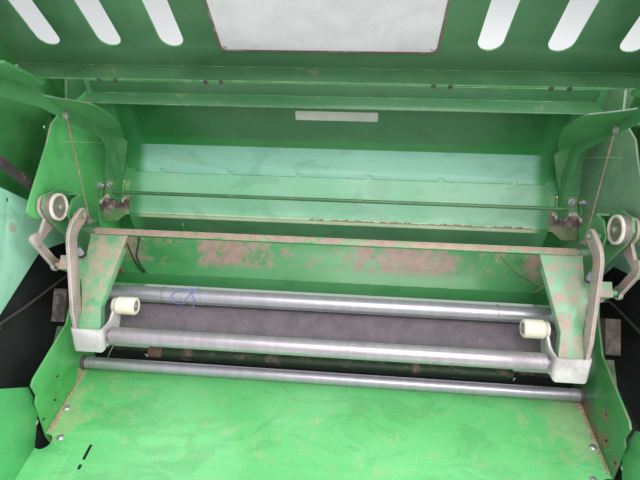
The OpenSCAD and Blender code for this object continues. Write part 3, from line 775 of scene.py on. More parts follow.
# ---------------------------------------------------------------------------------------------
# Mesh helpers
# ---------------------------------------------------------------------------------------------
def add_piece(name: str, mesh: bpy.types.Mesh, finishes: Sequence[Finish], body: str | None,
              replaced: Sequence[str] = (), smooth: float = 35.0) -> bpy.types.Object:
    """Puts a mesh in the scene as a piece of the unit.

    Args:
        name: Name of the piece.
        mesh: Its mesh, in place.
        finishes: Finishes for its material slots.
        body: CAD body that it rides on, or None for a piece that rides on no body.
        replaced: CAD nodes that it stands for.
        smooth: Edges sharper than this angle, in degrees, stay sharp.

    Returns:
        The new object.
    """
    indices = [face.material_index for face in mesh.polygons]
    mesh.materials.clear()
    for finish in finishes:
        mesh.materials.append(material(finish))
    mesh.polygons.foreach_set("material_index", indices)
    mesh.shade_smooth()
    mesh.set_sharp_from_angle(angle=math.radians(smooth))
    obj = bpy.data.objects.new(name, mesh)
    bpy.context.scene.collection.objects.link(obj)
    if body:
        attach(obj, body)
    if replaced:
        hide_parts(*replaced)
    log.info("piece %s on %s, %d faces", name, body, len(mesh.polygons))
    return obj


def mesh_of(name: str, build: bmesh.types.BMesh) -> bpy.types.Mesh:
    """Turns a bmesh into a mesh with its faces outwards and closes the bmesh.

    Args:
        name: Name of the mesh.
        build: The bmesh.

    Returns:
        The mesh.
    """
    bmesh.ops.remove_doubles(build, verts=build.verts, dist=1e-6)
    bmesh.ops.recalc_face_normals(build, faces=build.faces)
    mesh = bpy.data.meshes.new(name)
    build.to_mesh(mesh)
    build.free()
    return mesh


def circle(middle: Vector, across: Vector, second: Vector, radius: float,
           sides: int) -> list[Vector]:
    """Points round a circle.

    Args:
        middle: Its middle.
        across: Direction of the first point.
        second: Direction of the point a quarter turn on.
        radius: Its radius.
        sides: Number of points.

    Returns:
        The points.
    """
    turns = [2 * math.pi * k / sides for k in range(sides)]
    return [middle + radius * (math.cos(turn) * across + math.sin(turn) * second)
            for turn in turns]


def at_x(x: float, outline: Iterable[Flat]) -> list[Vector]:
    """An outline by (y, z) in the plane at x."""
    return [Vector((x, y, z)) for y, z in outline]


def at_y(y: float, outline: Iterable[Flat]) -> list[Vector]:
    """An outline by (x, z) in the plane at y."""
    return [Vector((x, y, z)) for x, z in outline]


def round_outline(width: float, height: float, radius: float, corner: int = 5) -> list[Flat]:
    """A rectangle about the origin with rounded corners.

    Args:
        width: Its size along the first axis.
        height: Its size along the second axis.
        radius: Radius of the corners.
        corner: Segments in each corner.

    Returns:
        Its points in order.
    """
    points = []
    for k, (sx, sy) in enumerate(((1, 1), (-1, 1), (-1, -1), (1, -1))):
        for i in range(corner + 1):
            turn = math.pi / 2 * (k + i / corner)
            points.append((sx * (width / 2 - radius) + radius * math.cos(turn),
                           sy * (height / 2 - radius) + radius * math.sin(turn)))
    return points


def smooth_path(points: Sequence[Point], steps: int = 8) -> list[Vector]:
    """A smooth line through points (Catmull-Rom).

    Args:
        points: The points.
        steps: Parts between two of them.

    Returns:
        Closely spaced points of the line.
    """
    pts = [Vector(p) for p in points]
    pts = [2 * pts[0] - pts[1], *pts, 2 * pts[-1] - pts[-2]]
    line = []
    for a, b, c, d in zip(pts, pts[1:], pts[2:], pts[3:]):
        for k in range(steps):
            t = k / steps
            line.append(0.5 * ((2 * b) + (c - a) * t + (2 * a - 5 * b + 4 * c - d) * t ** 2
                               + (3 * b - a - 3 * c + d) * t ** 3))
    line.append(pts[-2])
    return line


@dataclass
class Draft:
    """One piece while its mesh is being made."""

    name: str
    body: str | None
    slot: str
    finishes: tuple[Finish, ...]
    build: bmesh.types.BMesh = field(default_factory=bmesh.new)

    def tube(self, path: Sequence[Vector], radius: float, sides: int = 10, index: int = 0) -> None:
        """Adds a closed round tube along a path.

        Args:
            path: Points of the centre line.
            radius: Radius of the tube.
            sides: Faces round it.
            index: Material slot.
        """
        rings: list[list[bmesh.types.BMVert]] = []
        points = [Vector(p) for p in path]
        across = None
        for i, at in enumerate(points):
            ahead = points[min(i + 1, len(points) - 1)] - points[max(i - 1, 0)]
            ahead.normalize()
            if across is None:
                across = ahead.orthogonal().normalized()
            across = (across - ahead * across.dot(ahead)).normalized()
            second = ahead.cross(across)
            rings.append([self.build.verts.new(p)
                          for p in circle(at, across, second, radius, sides)])
        for a, b in zip(rings, rings[1:]):
            for k in range(sides):
                n = (k + 1) % sides
                self.build.faces.new((a[k], a[n], b[n], b[k])).material_index = index
        for ring in (list(reversed(rings[0])), rings[-1]):
            self.build.faces.new(ring).material_index = index

    def rope(self, path: Sequence[Vector], radius: float, pitch: float, index: int = 0) -> None:
        """Adds a rope of three strands twisted round a path.

        Args:
            path: Closely spaced points of its centre line.
            radius: Radius of the whole rope.
            pitch: Length of one turn.
            index: Material slot.
        """
        across = (path[1] - path[0]).orthogonal().normalized()
        for strand in range(3):
            line, run = [], 0.0
            for i, at in enumerate(path):
                ahead = (path[min(i + 1, len(path) - 1)] - path[max(i - 1, 0)]).normalized()
                side = (across - ahead * across.dot(ahead)).normalized()
                turn = 2 * math.pi * (run / pitch + strand / 3)
                away = math.cos(turn) * side + math.sin(turn) * ahead.cross(side)
                line.append(at + 0.5 * radius * away)
                run += (path[min(i + 1, len(path) - 1)] - at).length
            self.tube(line, 0.52 * radius, 6, index)

    def lathe(self, at: Sequence[float], along: Sequence[float], profile: Sequence[Flat],
              sides: int = 32, index: int = 0, ring: bool = False) -> None:
        """Adds a turned solid.

        Args:
            at: Foot of its axis.
            along: Direction of its axis.
            profile: (radius, height) pairs from one end to the other; a radius of 0 closes an end.
            sides: Faces round it.
            index: Material slot.
            ring: Joins the profile's end to its start, for a ring with a hole in it.
        """
        along = Vector(along).normalized()
        across = along.orthogonal().normalized()
        second = along.cross(across)
        rings = []
        for radius, height in profile:
            middle = Vector(at) + along * height
            if radius < 1e-7:
                rings.append([self.build.verts.new(middle)])
            else:
                rings.append([self.build.verts.new(p)
                              for p in circle(middle, across, second, radius, sides)])
        for a, b in zip(rings, rings[1:] + rings[:1] if ring else rings[1:]):
            for k in range(sides):
                n = (k + 1) % sides
                corners = [a[k % len(a)], a[n % len(a)], b[n % len(b)], b[k % len(b)]]
                unique = list(dict.fromkeys(corners))
                if len(unique) > 2:
                    self.build.faces.new(unique).material_index = index
        for end in () if ring else (rings[0], rings[-1]):
            if len(end) > 1:
                self.build.faces.new(end).material_index = index

    def slab(self, corners: Sequence[Sequence[float]], thickness: Sequence[float],
             index: int = 0) -> None:
        """Adds a flat plate: an outline swept by a vector.

        Args:
            corners: Its outline in order.
            thickness: The sweep.
            index: Material slot.
        """
        low = [self.build.verts.new(Vector(c)) for c in corners]
        high = [self.build.verts.new(Vector(c) + Vector(thickness)) for c in corners]
        count = len(corners)
        self.build.faces.new(low).material_index = index
        self.build.faces.new(list(reversed(high))).material_index = index
        for k in range(count):
            n = (k + 1) % count
            self.build.faces.new((low[k], low[n], high[n], high[k])).material_index = index

    def done(self, smooth: float = 35.0, replaced: Sequence[str] = ()) -> bpy.types.Object:
        """Closes the mesh and adds the piece.

        Args:
            smooth: Edges sharper than this angle, in degrees, stay sharp.
            replaced: CAD nodes that it stands for.

        Returns:
            The piece.
        """
        mesh = mesh_of(self.name, self.build)
        return add_piece(self.name, mesh, self.finishes, self.body, replaced, smooth)


# ---------------------------------------------------------------------------------------------
# Geometry Nodes helper
# ---------------------------------------------------------------------------------------------
class GeoTree:
    """Builds one Geometry Nodes tree with named inputs and runs it on a mesh of points."""

    def __init__(self, name: str) -> None:
        """Starts a tree that takes a geometry.

        Args:
            name: Name of the tree.
        """
        self.tree = bpy.data.node_groups.new(name, "GeometryNodeTree")
        for way in ("INPUT", "OUTPUT"):
            self.tree.interface.new_socket("Geometry", in_out=way,
                                           socket_type="NodeSocketGeometry")
        self.entry = self.tree.nodes.new("NodeGroupInput")
        self.exit = self.tree.nodes.new("NodeGroupOutput")
        self.values: dict[str, float] = {}

    def size(self, name: str, value: float) -> Socket:
        """Adds a named size to the tree's inputs.

        Args:
            name: Name of the input.
            value: Its value.

        Returns:
            The socket that carries it.
        """
        item = self.tree.interface.new_socket(name, in_out="INPUT", socket_type="NodeSocketFloat")
        item.default_value = value
        self.values[item.identifier] = value
        return self.entry.outputs[name]

    def node(self, kind: str, inputs: dict[Any, Any] | None = None,
             **settings: Any) -> bpy.types.Node:
        """Adds a node.

        Args:
            kind: Type of the node.
            inputs: Values or sockets for its inputs, by name or number.
            **settings: Its properties.

        Returns:
            The node.
        """
        node = self.tree.nodes.new(kind)
        for key, value in settings.items():
            setattr(node, key, value)
        for key, value in (inputs or {}).items():
            if isinstance(value, bpy.types.NodeSocket):
                self.tree.links.new(value, node.inputs[key])
            else:
                node.inputs[key].default_value = value
        return node

    def maths(self, operation: str, first: Any, second: Any) -> Socket:
        """The result of one step of arithmetic."""
        return self.node("ShaderNodeMath", {0: first, 1: second}, operation=operation).outputs[0]

    def lifted(self, geometry: Socket, height: Any) -> Socket:
        """Moves a geometry along its own Z."""
        place = self.node("ShaderNodeCombineXYZ", {"Z": height})
        return self.node("GeometryNodeTransform",
                         {"Geometry": geometry, "Translation": place.outputs[0]}).outputs[0]

    def joined(self, parts: Iterable[Socket]) -> Socket:
        """Joins geometries.

        Args:
            parts: The geometries.

        Returns:
            All of them as one.
        """
        join = self.node("GeometryNodeJoinGeometry")
        for part in parts:
            self.tree.links.new(part, join.inputs[0])
        return join.outputs[0]

    def close_with(self, geometry: Socket, finish: Finish) -> None:
        """Ends the tree in Realize Instances and Set Material.

        Args:
            geometry: The copies.
            finish: Their finish.
        """
        real = self.node("GeometryNodeRealizeInstances", {"Geometry": geometry})
        last = self.node("GeometryNodeSetMaterial",
                         {"Geometry": real.outputs[0], "Material": material(finish)})
        self.tree.links.new(last.outputs[0], self.exit.inputs[0])

    def on_points(self, shape: Socket, grow: Socket | None = None) -> Socket:
        """Instances a shape on the points, its Z along their aim.

        Args:
            shape: The shape.
            grow: Scale of each copy, or None for the scale that its point carries.

        Returns:
            The copies.
        """
        aim = self.node("GeometryNodeInputNamedAttribute", {"Name": "aim"},
                        data_type="FLOAT_VECTOR")
        if grow is None:
            grow = self.node("GeometryNodeInputNamedAttribute", {"Name": "grow"},
                             data_type="FLOAT").outputs[0]
        turned = self.node("FunctionNodeAlignRotationToVector", {"Vector": aim.outputs[0]},
                           axis="Z")
        return self.node("GeometryNodeInstanceOnPoints", {
            "Points": self.entry.outputs[0], "Instance": shape, "Rotation": turned.outputs[0],
            "Scale": grow}).outputs[0]

    def run(self, name: str, places: Sequence[tuple[Point, Point, float]]) -> bpy.types.Mesh:
        """Runs the tree on places and gives the plain mesh.

        Args:
            name: Name of the mesh.
            places: (point, aim, scale) for each copy.

        Returns:
            The mesh, with the modifier gone.
        """
        points = bpy.data.meshes.new(name + "_points")
        points.from_pydata([p for p, _, _ in places], [], [])
        aim = points.attributes.new("aim", "FLOAT_VECTOR", "POINT")
        aim.data.foreach_set("vector", [c for _, a, _ in places for c in a])
        grow = points.attributes.new("grow", "FLOAT", "POINT")
        grow.data.foreach_set("value", [g for _, _, g in places])
        holder = bpy.data.objects.new(name + "_holder", points)
        bpy.context.scene.collection.objects.link(holder)
        modifier = holder.modifiers.new("tree", "NODES")
        modifier.node_group = self.tree
        for identifier, value in self.values.items():
            modifier[identifier] = value
        graph = bpy.context.evaluated_depsgraph_get()
        mesh = bpy.data.meshes.new_from_object(holder.evaluated_get(graph))
        mesh.name = name
        holder.modifiers.clear()
        bpy.data.objects.remove(holder)
        for attribute in ("aim", "grow"):
            if attribute in mesh.attributes:
                mesh.attributes.remove(mesh.attributes[attribute])
        return mesh


# ---------------------------------------------------------------------------------------------
# CAD sheets, rounded and painted
# ---------------------------------------------------------------------------------------------
@dataclass
class SheetDresser:
    """Makes a welded copy of a CAD node with rounded, worn edges, which stands for the node."""

    sharp_angle: float = 28.0
    segments: int = 2

    def dress(self, node: str, face: Finish, edge: Finish,
              width: float = 0.0009) -> bpy.types.Object:
        """Dresses one node.

        Args:
            node: Name of the CAD node.
            face: Finish of its faces.
            edge: Finish of its rounded edges.
            width: Width of the rounding.

        Returns:
            The piece that stands for the node.
        """
        source = frame["nodes"][node]
        build = bmesh.new()
        build.from_mesh(source.data)
        bmesh.ops.remove_doubles(build, verts=build.verts, dist=2e-5)
        bmesh.ops.dissolve_limit(build, angle_limit=math.radians(1.0), verts=build.verts,
                                 edges=build.edges)
        sharp = [e for e in build.edges if e.is_manifold
                 and e.calc_face_angle(0.0) > math.radians(self.sharp_angle)]
        bmesh.ops.bevel(build, geom=sharp, offset=width, offset_type="OFFSET",
                        segments=self.segments, profile=0.5, affect="EDGES", clamp_overlap=True,
                        material=1)
        mesh = bpy.data.meshes.new(node + "_dressed")
        build.to_mesh(mesh)
        build.free()
        return add_piece(node + "_dressed", mesh, (face, edge), source["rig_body"], (node,),
                         40)


@dataclass
class CadFinishes:
    """Which finish each CAD node gets, and whether it is rounded or kept as it is."""

    dresser: SheetDresser = field(default_factory=SheetDresser)
    sheets: dict[str, tuple[Finish, Finish]] = field(default_factory=lambda: {
        "side_wall": (Finish.WALL_PAINT, Finish.WALL_EDGE),
        "side_wall_right": (Finish.SHADED_WALL, Finish.WALL_EDGE),
        "tray": (Finish.TRAY_PAINT, Finish.TRAY_EDGE),
        "tray_wing": (Finish.WING_PAINT, Finish.TRAY_EDGE),
        "cradle_sheet": (Finish.CRADLE_PAINT, Finish.DARK_EDGE),
        "back_panel": (Finish.BACK_PAINT, Finish.DARK_EDGE),
        "top_flange": (Finish.FLANGE_PAINT, Finish.DARK_EDGE),
        "deflector": (Finish.DEFLECTOR_PAINT, Finish.DARK_EDGE),
        "gusset": (Finish.GUSSET_PAINT, Finish.PALE_EDGE),
        "hinge_bracket": (Finish.BRACKET_DIRT, Finish.PALE_EDGE),
        "side_cover": (Finish.COVER_PAINT, Finish.TRAY_EDGE),
        "side_shell": (Finish.SHELL_PAINT, Finish.DARK_EDGE),
        # The guard's near-black is painted shade.
        "guard": (Finish.GUARD, Finish.GUARD),
        "hood_panel": (Finish.HOOD_PAINT, Finish.DARK_EDGE),
        "hood_side": (Finish.SHELL_PAINT, Finish.DARK_EDGE),
        "hood_arm": (Finish.ARM_PAINT, Finish.PALE_EDGE),
        "strap": (Finish.GREY_COAT, Finish.GREY_EDGE),
        "brake_bracket": (Finish.BRACKET_COAT, Finish.GREY_EDGE),
        "brake_arm": (Finish.FRAME_PAINT, Finish.PALE_EDGE),
        "cross_bar": (Finish.BAR_PAINT, Finish.PALE_EDGE),
        "lever": (Finish.GREY_COAT, Finish.GREY_EDGE),
        "link": (Finish.GREY_COAT, Finish.GREY_EDGE),
        "disc": (Finish.DISC_FACE, Finish.GREY_EDGE),
        "guide_roller": (Finish.CREAM, Finish.CREAM),
    })
    kept: dict[str, Finish] = field(default_factory=lambda: {
        "hood_rod": Finish.ROD_PAINT,
        "strut_barrel": Finish.STRUT_PAINT,
        "strut_rod": Finish.ROD_CHROME,
        "mid_tube": Finish.DULL_STEEL,
        "lower_roller": Finish.ROLLER_STEEL,
        "upper_tube": Finish.ROLLER_STEEL,
        "rubber_roller": Finish.RUBBER,
        "rear_roller": Finish.REAR_TUBE,
    })

    def build(self) -> None:
        """Dresses every CAD node."""
        for node, obj in frame["nodes"].items():
            base = node.removesuffix("_left").removesuffix("_right")
            if base in self.sheets:
                self.dresser.dress(node, *self.sheets.get(node, self.sheets[base]))
            elif base in self.kept:
                for slot in obj.material_slots:
                    slot.material = material(self.kept[base])
                if not obj.material_slots:
                    obj.data.materials.append(material(self.kept[base]))


# ---------------------------------------------------------------------------------------------
# Fasteners
# ---------------------------------------------------------------------------------------------
@dataclass
class Copies:
    """A small shape that is put on many points, as one piece for each body and kind."""

    def tree(self, finish: Finish) -> GeoTree:
        """Builds the Geometry Nodes tree of the shape on every point."""
        raise NotImplementedError

    def put(self, name: str, places: Sequence[tuple[Point, Point, float]], finish: Finish,
            body: str, slot: str) -> None:
        """Adds a piece with a copy of the shape at every place.

        Args:
            name: Name of the piece.
            places: (point, aim, scale) for each copy.
            finish: Its finish.
            body: CAD body that it rides on.
            slot: Material slot of the record; not used.
        """
        add_piece(name, self.tree(finish).run(name, places), (finish,), body)


@dataclass
class HexBolts(Copies):
    """Hexagon heads on washers, with the end of the thread showing."""

    head_radius: float = 0.0085
    head_height: float = 0.0065
    washer_radius: float = 0.011
    washer_height: float = 0.002
    stud_height: float = 0.003
    chamfer: float = 0.0012

    def tree(self, finish: Finish) -> GeoTree:
        """Builds the tree of a bolt on every point.

        Args:
            finish: Finish of the bolts.

        Returns:
            The tree.
        """
        t = GeoTree("hex_bolts_" + finish.name.lower())
        radius = t.size("Head Radius", self.head_radius)
        height = t.size("Head Height", self.head_height)
        wide = t.size("Washer Radius", self.washer_radius)
        flat = t.size("Washer Height", self.washer_height)
        stud = t.size("Stud Height", self.stud_height)
        top = t.maths("ADD", flat, height)
        parts = (
            ("Cylinder", {"Vertices": 20, "Radius": wide, "Depth": flat},
             t.maths("MULTIPLY", flat, 0.5)),
            ("Cylinder", {"Vertices": 6, "Radius": radius, "Depth": height},
             t.maths("ADD", flat, t.maths("MULTIPLY", height, 0.5))),
            ("Cone", {"Vertices": 6, "Radius Top": t.maths("MULTIPLY", radius, 0.82),
                      "Radius Bottom": radius, "Depth": self.chamfer}, top),
            ("Cone", {"Vertices": 14, "Radius Top": t.maths("MULTIPLY", radius, 0.4),
                      "Radius Bottom": t.maths("MULTIPLY", radius, 0.5), "Depth": stud},
             t.maths("ADD", top, 0.0011)))
        shapes = [t.lifted(t.node("GeometryNodeMesh" + kind, inputs).outputs[0], level)
                  for kind, inputs, level in parts]
        t.close_with(t.on_points(t.joined(shapes)), finish)
        return t


@dataclass
class DomeHeads(Copies):
    """Round heads of rivets and carriage bolts."""

    radius: float = 0.008
    rise: float = 0.55

    def tree(self, finish: Finish) -> GeoTree:
        """Builds the tree of a dome on every point.

        Args:
            finish: Finish of the domes.

        Returns:
            The tree.
        """
        t = GeoTree("dome_heads_" + finish.name.lower())
        radius, rise = t.size("Radius", self.radius), t.size("Rise", self.rise)
        ball = t.node("GeometryNodeMeshUVSphere", {"Segments": 20, "Rings": 12, "Radius": radius})
        flat = t.node("ShaderNodeCombineXYZ", {"X": 1.0, "Y": 1.0, "Z": rise})
        dome = t.node("GeometryNodeTransform",
                      {"Geometry": ball.outputs[0], "Scale": flat.outputs[0]})
        t.close_with(t.on_points(dome.outputs[0]), finish)
        return t


@dataclass
class Drops(Copies):
    """Overlapping drops, each of its own size: weld beads along a line, or crumbs of dirt."""

    drop: float = 0.0035
    seed: int = 7
    flat: float = 0.6

    def tree(self, finish: Finish) -> GeoTree:
        """Builds the tree of a drop on every point.

        Args:
            finish: Finish of the drops.

        Returns:
            The tree.
        """
        t = GeoTree("drops_" + finish.name.lower())
        drop = t.size("Drop", self.drop)
        ball = t.node("GeometryNodeMeshIcoSphere", {"Radius": drop, "Subdivisions": 2})
        uneven = t.node("FunctionNodeRandomValue", data_type="FLOAT")
        floats = [s for s in uneven.inputs if s.type == "VALUE"]
        floats[0].default_value, floats[1].default_value = 0.8, 1.25
        next(s for s in uneven.inputs if s.name == "Seed").default_value = self.seed
        value = next(s for s in uneven.outputs if s.type == "VALUE")
        squashed = t.node("ShaderNodeCombineXYZ", {"X": value, "Y": value, "Z": self.flat})
        t.close_with(t.on_points(ball.outputs[0], squashed.outputs[0]), finish)
        return t


@dataclass
class Fasteners:
    """Every bolt, nut and rivet of the housing and the hood's arms."""

    hexes: HexBolts = field(default_factory=HexBolts)
    domes: DomeHeads = field(default_factory=DomeHeads)
    bolt_x: float = 0.6605
    bolt_gap: float = 0.021

    def build(self) -> None:
        """Places every fastener."""
        for side in Side:
            s, word, inward = side.value, side.word, side.inward
            dull = [(CRADLE.at(s * x, up, 0.0002), CRADLE.normal, size) for x, up, size in
                    ((0.6435, 0.034, 0.66), (0.619, 0.031, 0.66), (0.630, 0.014, 0.84))]
            self.hexes.put(f"bracket_nuts_{word}", dull, Finish.DULL_ZINC, "housing", "grey_metal")
            nuts = [(CRADLE.at(s * 0.6350, 0.076, 0.001), CRADLE.normal, 0.92),
                    ((s * 0.6548, -0.098, 0.150), inward, 0.92)]
            nuts += [((s * self.bolt_x, y + gap, z), side.outward, 1.0)
                     for y, z in ROLLER_AXES for gap in (-self.bolt_gap, self.bolt_gap)]
            self.hexes.put(f"housing_bolts_{word}", nuts, Finish.ZINC, "housing", "green_paint")
            heads = [(TRAY.at(s * 0.6400, 0.1265), TRAY.normal, 1.15),
                     (TRAY.at(s * 0.6130, 0.2060), TRAY.normal, 1.1),
                     ((s * 0.6632, -0.640, -0.160), inward, 0.9)]
            self.domes.put(f"tray_rivets_{word}", heads, Finish.ZINC, "housing", "green_paint")
            arm = [((s * 0.5955, -0.214, 0.417), inward, 1.25)]
            self.domes.put(f"arm_bolt_{word}", arm, Finish.ZINC, "hood", "green_paint")


# ---------------------------------------------------------------------------------------------
# Small parts and what has settled on them
# ---------------------------------------------------------------------------------------------
@dataclass
class Rigging:
    """Wire ropes from the hood's arms to the gussets, held taut by the open hood."""

    rope_radius: float = 0.0016
    twist: float = 0.014
    top: Point = (0.5935, -0.2165, 0.4080)
    foot: Point = (0.5995, -0.2690, 0.1580)
    steps: int = 90
    fitting_share: dict[Side, float] = field(
        default_factory=lambda: {Side.LEFT: 0.46, Side.RIGHT: 0.16})

    def build(self) -> None:
        """Builds both ropes with their fittings and clamps."""
        for side in Side:
            top = Vector((side.value * self.top[0], *self.top[1:]))
            foot = Vector((side.value * self.foot[0], *self.foot[1:]))
            start = top.lerp(foot, self.fitting_share[side])
            self.fitting(side, top, start)
            cable = Draft(f"wire_rope_{side.word}", None, "grey_metal", (Finish.WIRE,))
            path = [start.lerp(foot, k / self.steps) for k in range(self.steps + 1)]
            cable.rope(path, self.rope_radius, self.twist)
            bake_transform(cable.done())
            self.clamp(side, foot)

    def fitting(self, side: Side, top: Vector, end: Vector) -> None:
        """Adds the rusty screw fitting between the arm's bolt and the rope.

        Args:
            side: Side of the unit.
            top: Its upper end.
            end: Where the rope starts.
        """
        draft = Draft(f"rope_fitting_{side.word}", "hood", "grey_metal", (Finish.RUSTY,))
        run = (end - top).length
        profile = ((0.0, 0.0), (0.0015, 0.0), (0.0015, 0.14), (0.0023, 0.17), (0.0023, 0.30),
                   (0.0016, 0.33), (0.0016, 0.70), (0.0023, 0.74), (0.0023, 0.95), (0.0016, 1.0),
                   (0.0, 1.0))
        draft.lathe(top, end - top, [(radius, share * run) for radius, share in profile], 14)
        loop = [top + 0.0085 * Vector((0, math.sin(a), math.cos(a))) + Vector((0, 0.002, 0.0085))
                for a in (math.radians(d) for d in range(-160, 161, 20))]
        draft.tube(loop, 0.0016, 8)
        draft.done()

    def clamp(self, side: Side, foot: Vector) -> None:
        """Adds the clamp that holds the rope's end on the gusset's inner cheek.

        Args:
            side: Side of the unit.
            foot: The rope's end.
        """
        draft = Draft(f"rope_clamp_{side.word}", "housing", "grey_metal", (Finish.DULL_ZINC,))
        out = Vector(side.outward)
        draft.lathe(foot - 0.0035 * out, out,
                    [(0, 0), (0.0052, 0), (0.0060, 0.0008), (0.0060, 0.0045), (0.0084, 0.0048),
                     (0.0084, 0.0060), (0, 0.0060)], 20)
        draft.done()


@dataclass
class HingeDetails:
    """Caps of the hood's hinge pins."""

    hinge_axis: Flat = (-0.097, 0.112)

    def build(self) -> None:
        """Builds both sides."""
        for side in Side:
            caps = Draft(f"hinge_pin_caps_{side.word}", "housing", "grey_metal",
                         (Finish.DULL_ZINC,))
            for x, aim in ((0.5824, -1), (0.6146, 1)):
                caps.lathe((side.value * x, *self.hinge_axis), (aim * side.value, 0, 0),
                           [(0, 0), (0.0095, 0), (0.0095, 0.0016), (0.0070, 0.0020),
                            (0.0064, 0.0036), (0, 0.0042)], 24)
            caps.done()


@dataclass
class BrakeDetails:
    """Pivot heads, weld beads, bearings and bolts of the brake frame and its levers."""

    pivot: Flat = (-0.304, 0.204)
    disc_axis: Flat = (-0.331, 0.246)
    guide_axis: Flat = (-0.404, 0.001)
    guide_face: float = 0.4694
    bar_axis: Flat = (-0.282, 0.136)
    heads: DomeHeads = field(default_factory=lambda: DomeHeads(0.0085, 0.5))
    beads: Drops = field(default_factory=Drops)

    def build(self) -> None:
        """Builds both sides."""
        for side in Side:
            s, word = side.value, side.word
            heads = [((s * 0.579, *self.pivot), side.inward, 1.0),
                     ((s * 0.6092, *self.disc_axis), side.inward, 0.75)]
            self.heads.put(f"pivot_heads_{word}", heads, Finish.DULL_ZINC, "housing", "grey_metal")
            self.disc_hub(side)
            self.guide_bearing(side)
            self.beads.put(f"frame_welds_{word}", self.weld_places(s), Finish.BAR_PAINT,
                           "brake_frame", "bright_green_paint")

    def weld_places(self, s: int) -> list[tuple[Point, Point, float]]:
        """Beads along the arm's joint with the bar and down the strap's edge of the arm.

        Args:
            s: -1 on the left, 1 on the right.

        Returns:
            (point, aim, scale) for each bead.
        """
        y, z = self.bar_axis
        joint = [((s * (0.504 + 0.0031 * k), y - 0.0088, z - 0.0062 + 0.0006 * (k % 3)),
                  (0.0, -0.7, 0.7), 1.0) for k in range(30)]
        edge = [((s * 0.5815, y - 0.006 + 0.0014 * k, z + 0.0095 - 0.0009 * k),
                 (-s * 0.6, 0.0, 0.8), 1.0) for k in range(12)]
        return joint + edge

    def disc_hub(self, side: Side) -> None:
        """Adds the hub ring in the disc's recess and the bright ring round its face.

        Args:
            side: Side of the unit.
        """
        body = f"disc_{side.word}"
        draft = Draft(f"disc_hub_{side.word}", body, "grey_metal",
                      (Finish.DISC_FACE, Finish.DISC_RIM))
        draft.lathe((side.value * 0.6149, *self.disc_axis), side.inward,
                    [(0.0074, -0.0004), (0.0125, -0.0004), (0.0120, 0.0008), (0.0098, 0.0011),
                     (0.0074, 0.0011)], 32, 0, True)
        low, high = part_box(body)
        face = low[0] if side is Side.RIGHT else high[0]
        draft.lathe((face, *self.disc_axis), side.inward,
                    [(0.0258, -0.0023), (0.0258, 0.0009), (0.0268, 0.0014), (0.0306, 0.0014),
                     (0.0315, 0.0006), (0.0315, -0.0050), (0.0309, -0.0050), (0.0306, -0.0006),
                     (0.0272, -0.0006), (0.0268, -0.0023)], 64, 1, True)
        draft.done(30)

    def guide_bearing(self, side: Side) -> None:
        """Adds the bearing and bolt seen in the guide roller's recess.

        Args:
            side: Side of the unit.
        """
        at, aim = (side.value * self.guide_face, *self.guide_axis), side.inward
        ring = Draft(f"guide_bearing_{side.word}", f"guide_roller_{side.word}", "dark_metal",
                     (Finish.DULL_ZINC, Finish.ZINC))
        ring.lathe(at, aim, [(0.0072, 0), (0.0128, 0), (0.0128, 0.0010), (0.0118, 0.0014),
                             (0.0084, 0.0014), (0.0072, 0.0010)], 32, 0, True)
        ring.lathe(at, aim, [(0, 0), (0.0068, 0), (0.0068, 0.0016), (0.0056, 0.0019),
                             (0.0056, 0.0042), (0.0048, 0.0048), (0, 0.0048)], 6, 1)
        ring.done()


@dataclass
class RollerDetails:
    """Collars beside the roller ends, bearing housings outside the walls and a rusty band."""

    tube_ring_x: float = 0.430
    band_x: float = -0.505

    def build(self) -> None:
        """Builds the collars, housings, tube rings and band."""
        for side in Side:
            s, word = side.value, side.word
            inner = Draft(f"roller_collars_{word}", "housing", "dark_metal", (Finish.COLLAR_STEEL,))
            outer = Draft(f"bearing_housings_{word}", "housing", "grey_metal", (Finish.DULL_ZINC,))
            for axis in ROLLER_AXES:
                inner.lathe((s * WALL_X, *axis), side.inward,
                            [(0.0096, 0.0), (0.0200, 0.0), (0.0200, 0.0020), (0.0150, 0.0030),
                             (0.0150, 0.0075), (0.0130, 0.0085), (0.0096, 0.0085)], 32, 0, True)
                outer.lathe((s * OUTER_X, *axis), side.outward,
                            [(0, 0.0045), (0.0096, 0.0045), (0.0096, 0), (0.0300, 0),
                             (0.0300, 0.0026), (0.0210, 0.0036), (0.0200, 0.0088), (0.0165, 0.0104),
                             (0, 0.0108)], 36)
            inner.done()
            outer.done()
            ring = Draft(f"tube_ring_{word}", "upper_tube", "grey_metal", (Finish.DULL_STEEL,))
            ring.lathe((s * self.tube_ring_x, *UPPER_TUBE), side.outward,
                       [(0.0201, 0), (0.0216, 0.0004), (0.0216, 0.0056), (0.0201, 0.0060)], 40, 0,
                       True)
            ring.done()
        band = Draft("rusty_band", "rear_roller", "grey_metal", (Finish.DIRT,))
        band.lathe((self.band_x, *REAR_ROLLER), (1, 0, 0),
                   [(0.0221, 0), (0.0240, 0.001), (0.0236, 0.018), (0.0242, 0.036),
                    (0.0221, 0.040)], 32, 0, True)
        band.done()


@dataclass(frozen=True)
class Closer:
    """A flat plate or flap on both sides that closes the view past the walls.

    The outline is by (y, z) in the plane at x, or by (x, z) in the plane at y, on the right side.
    The depth is its thickness, outwards from x or along y.
    """

    name: str
    slot: str
    finish: Finish
    outline: tuple[Flat, ...]
    depth: float
    x: float | None = None
    y: float = 0.0

    def build(self, side: Side) -> None:
        """Adds the plate on one side.

        Args:
            side: Side of the unit.
        """
        s = side.value
        draft = Draft(f"{self.name}_{side.word}", "housing", self.slot, (self.finish,))
        if self.x is None:
            corners = at_y(self.y, [(s * x, z) for x, z in self.outline])
            draft.slab(corners, (0, self.depth, 0))
        else:
            draft.slab(at_x(s * self.x, self.outline), (s * self.depth, 0, 0))
        draft.done()


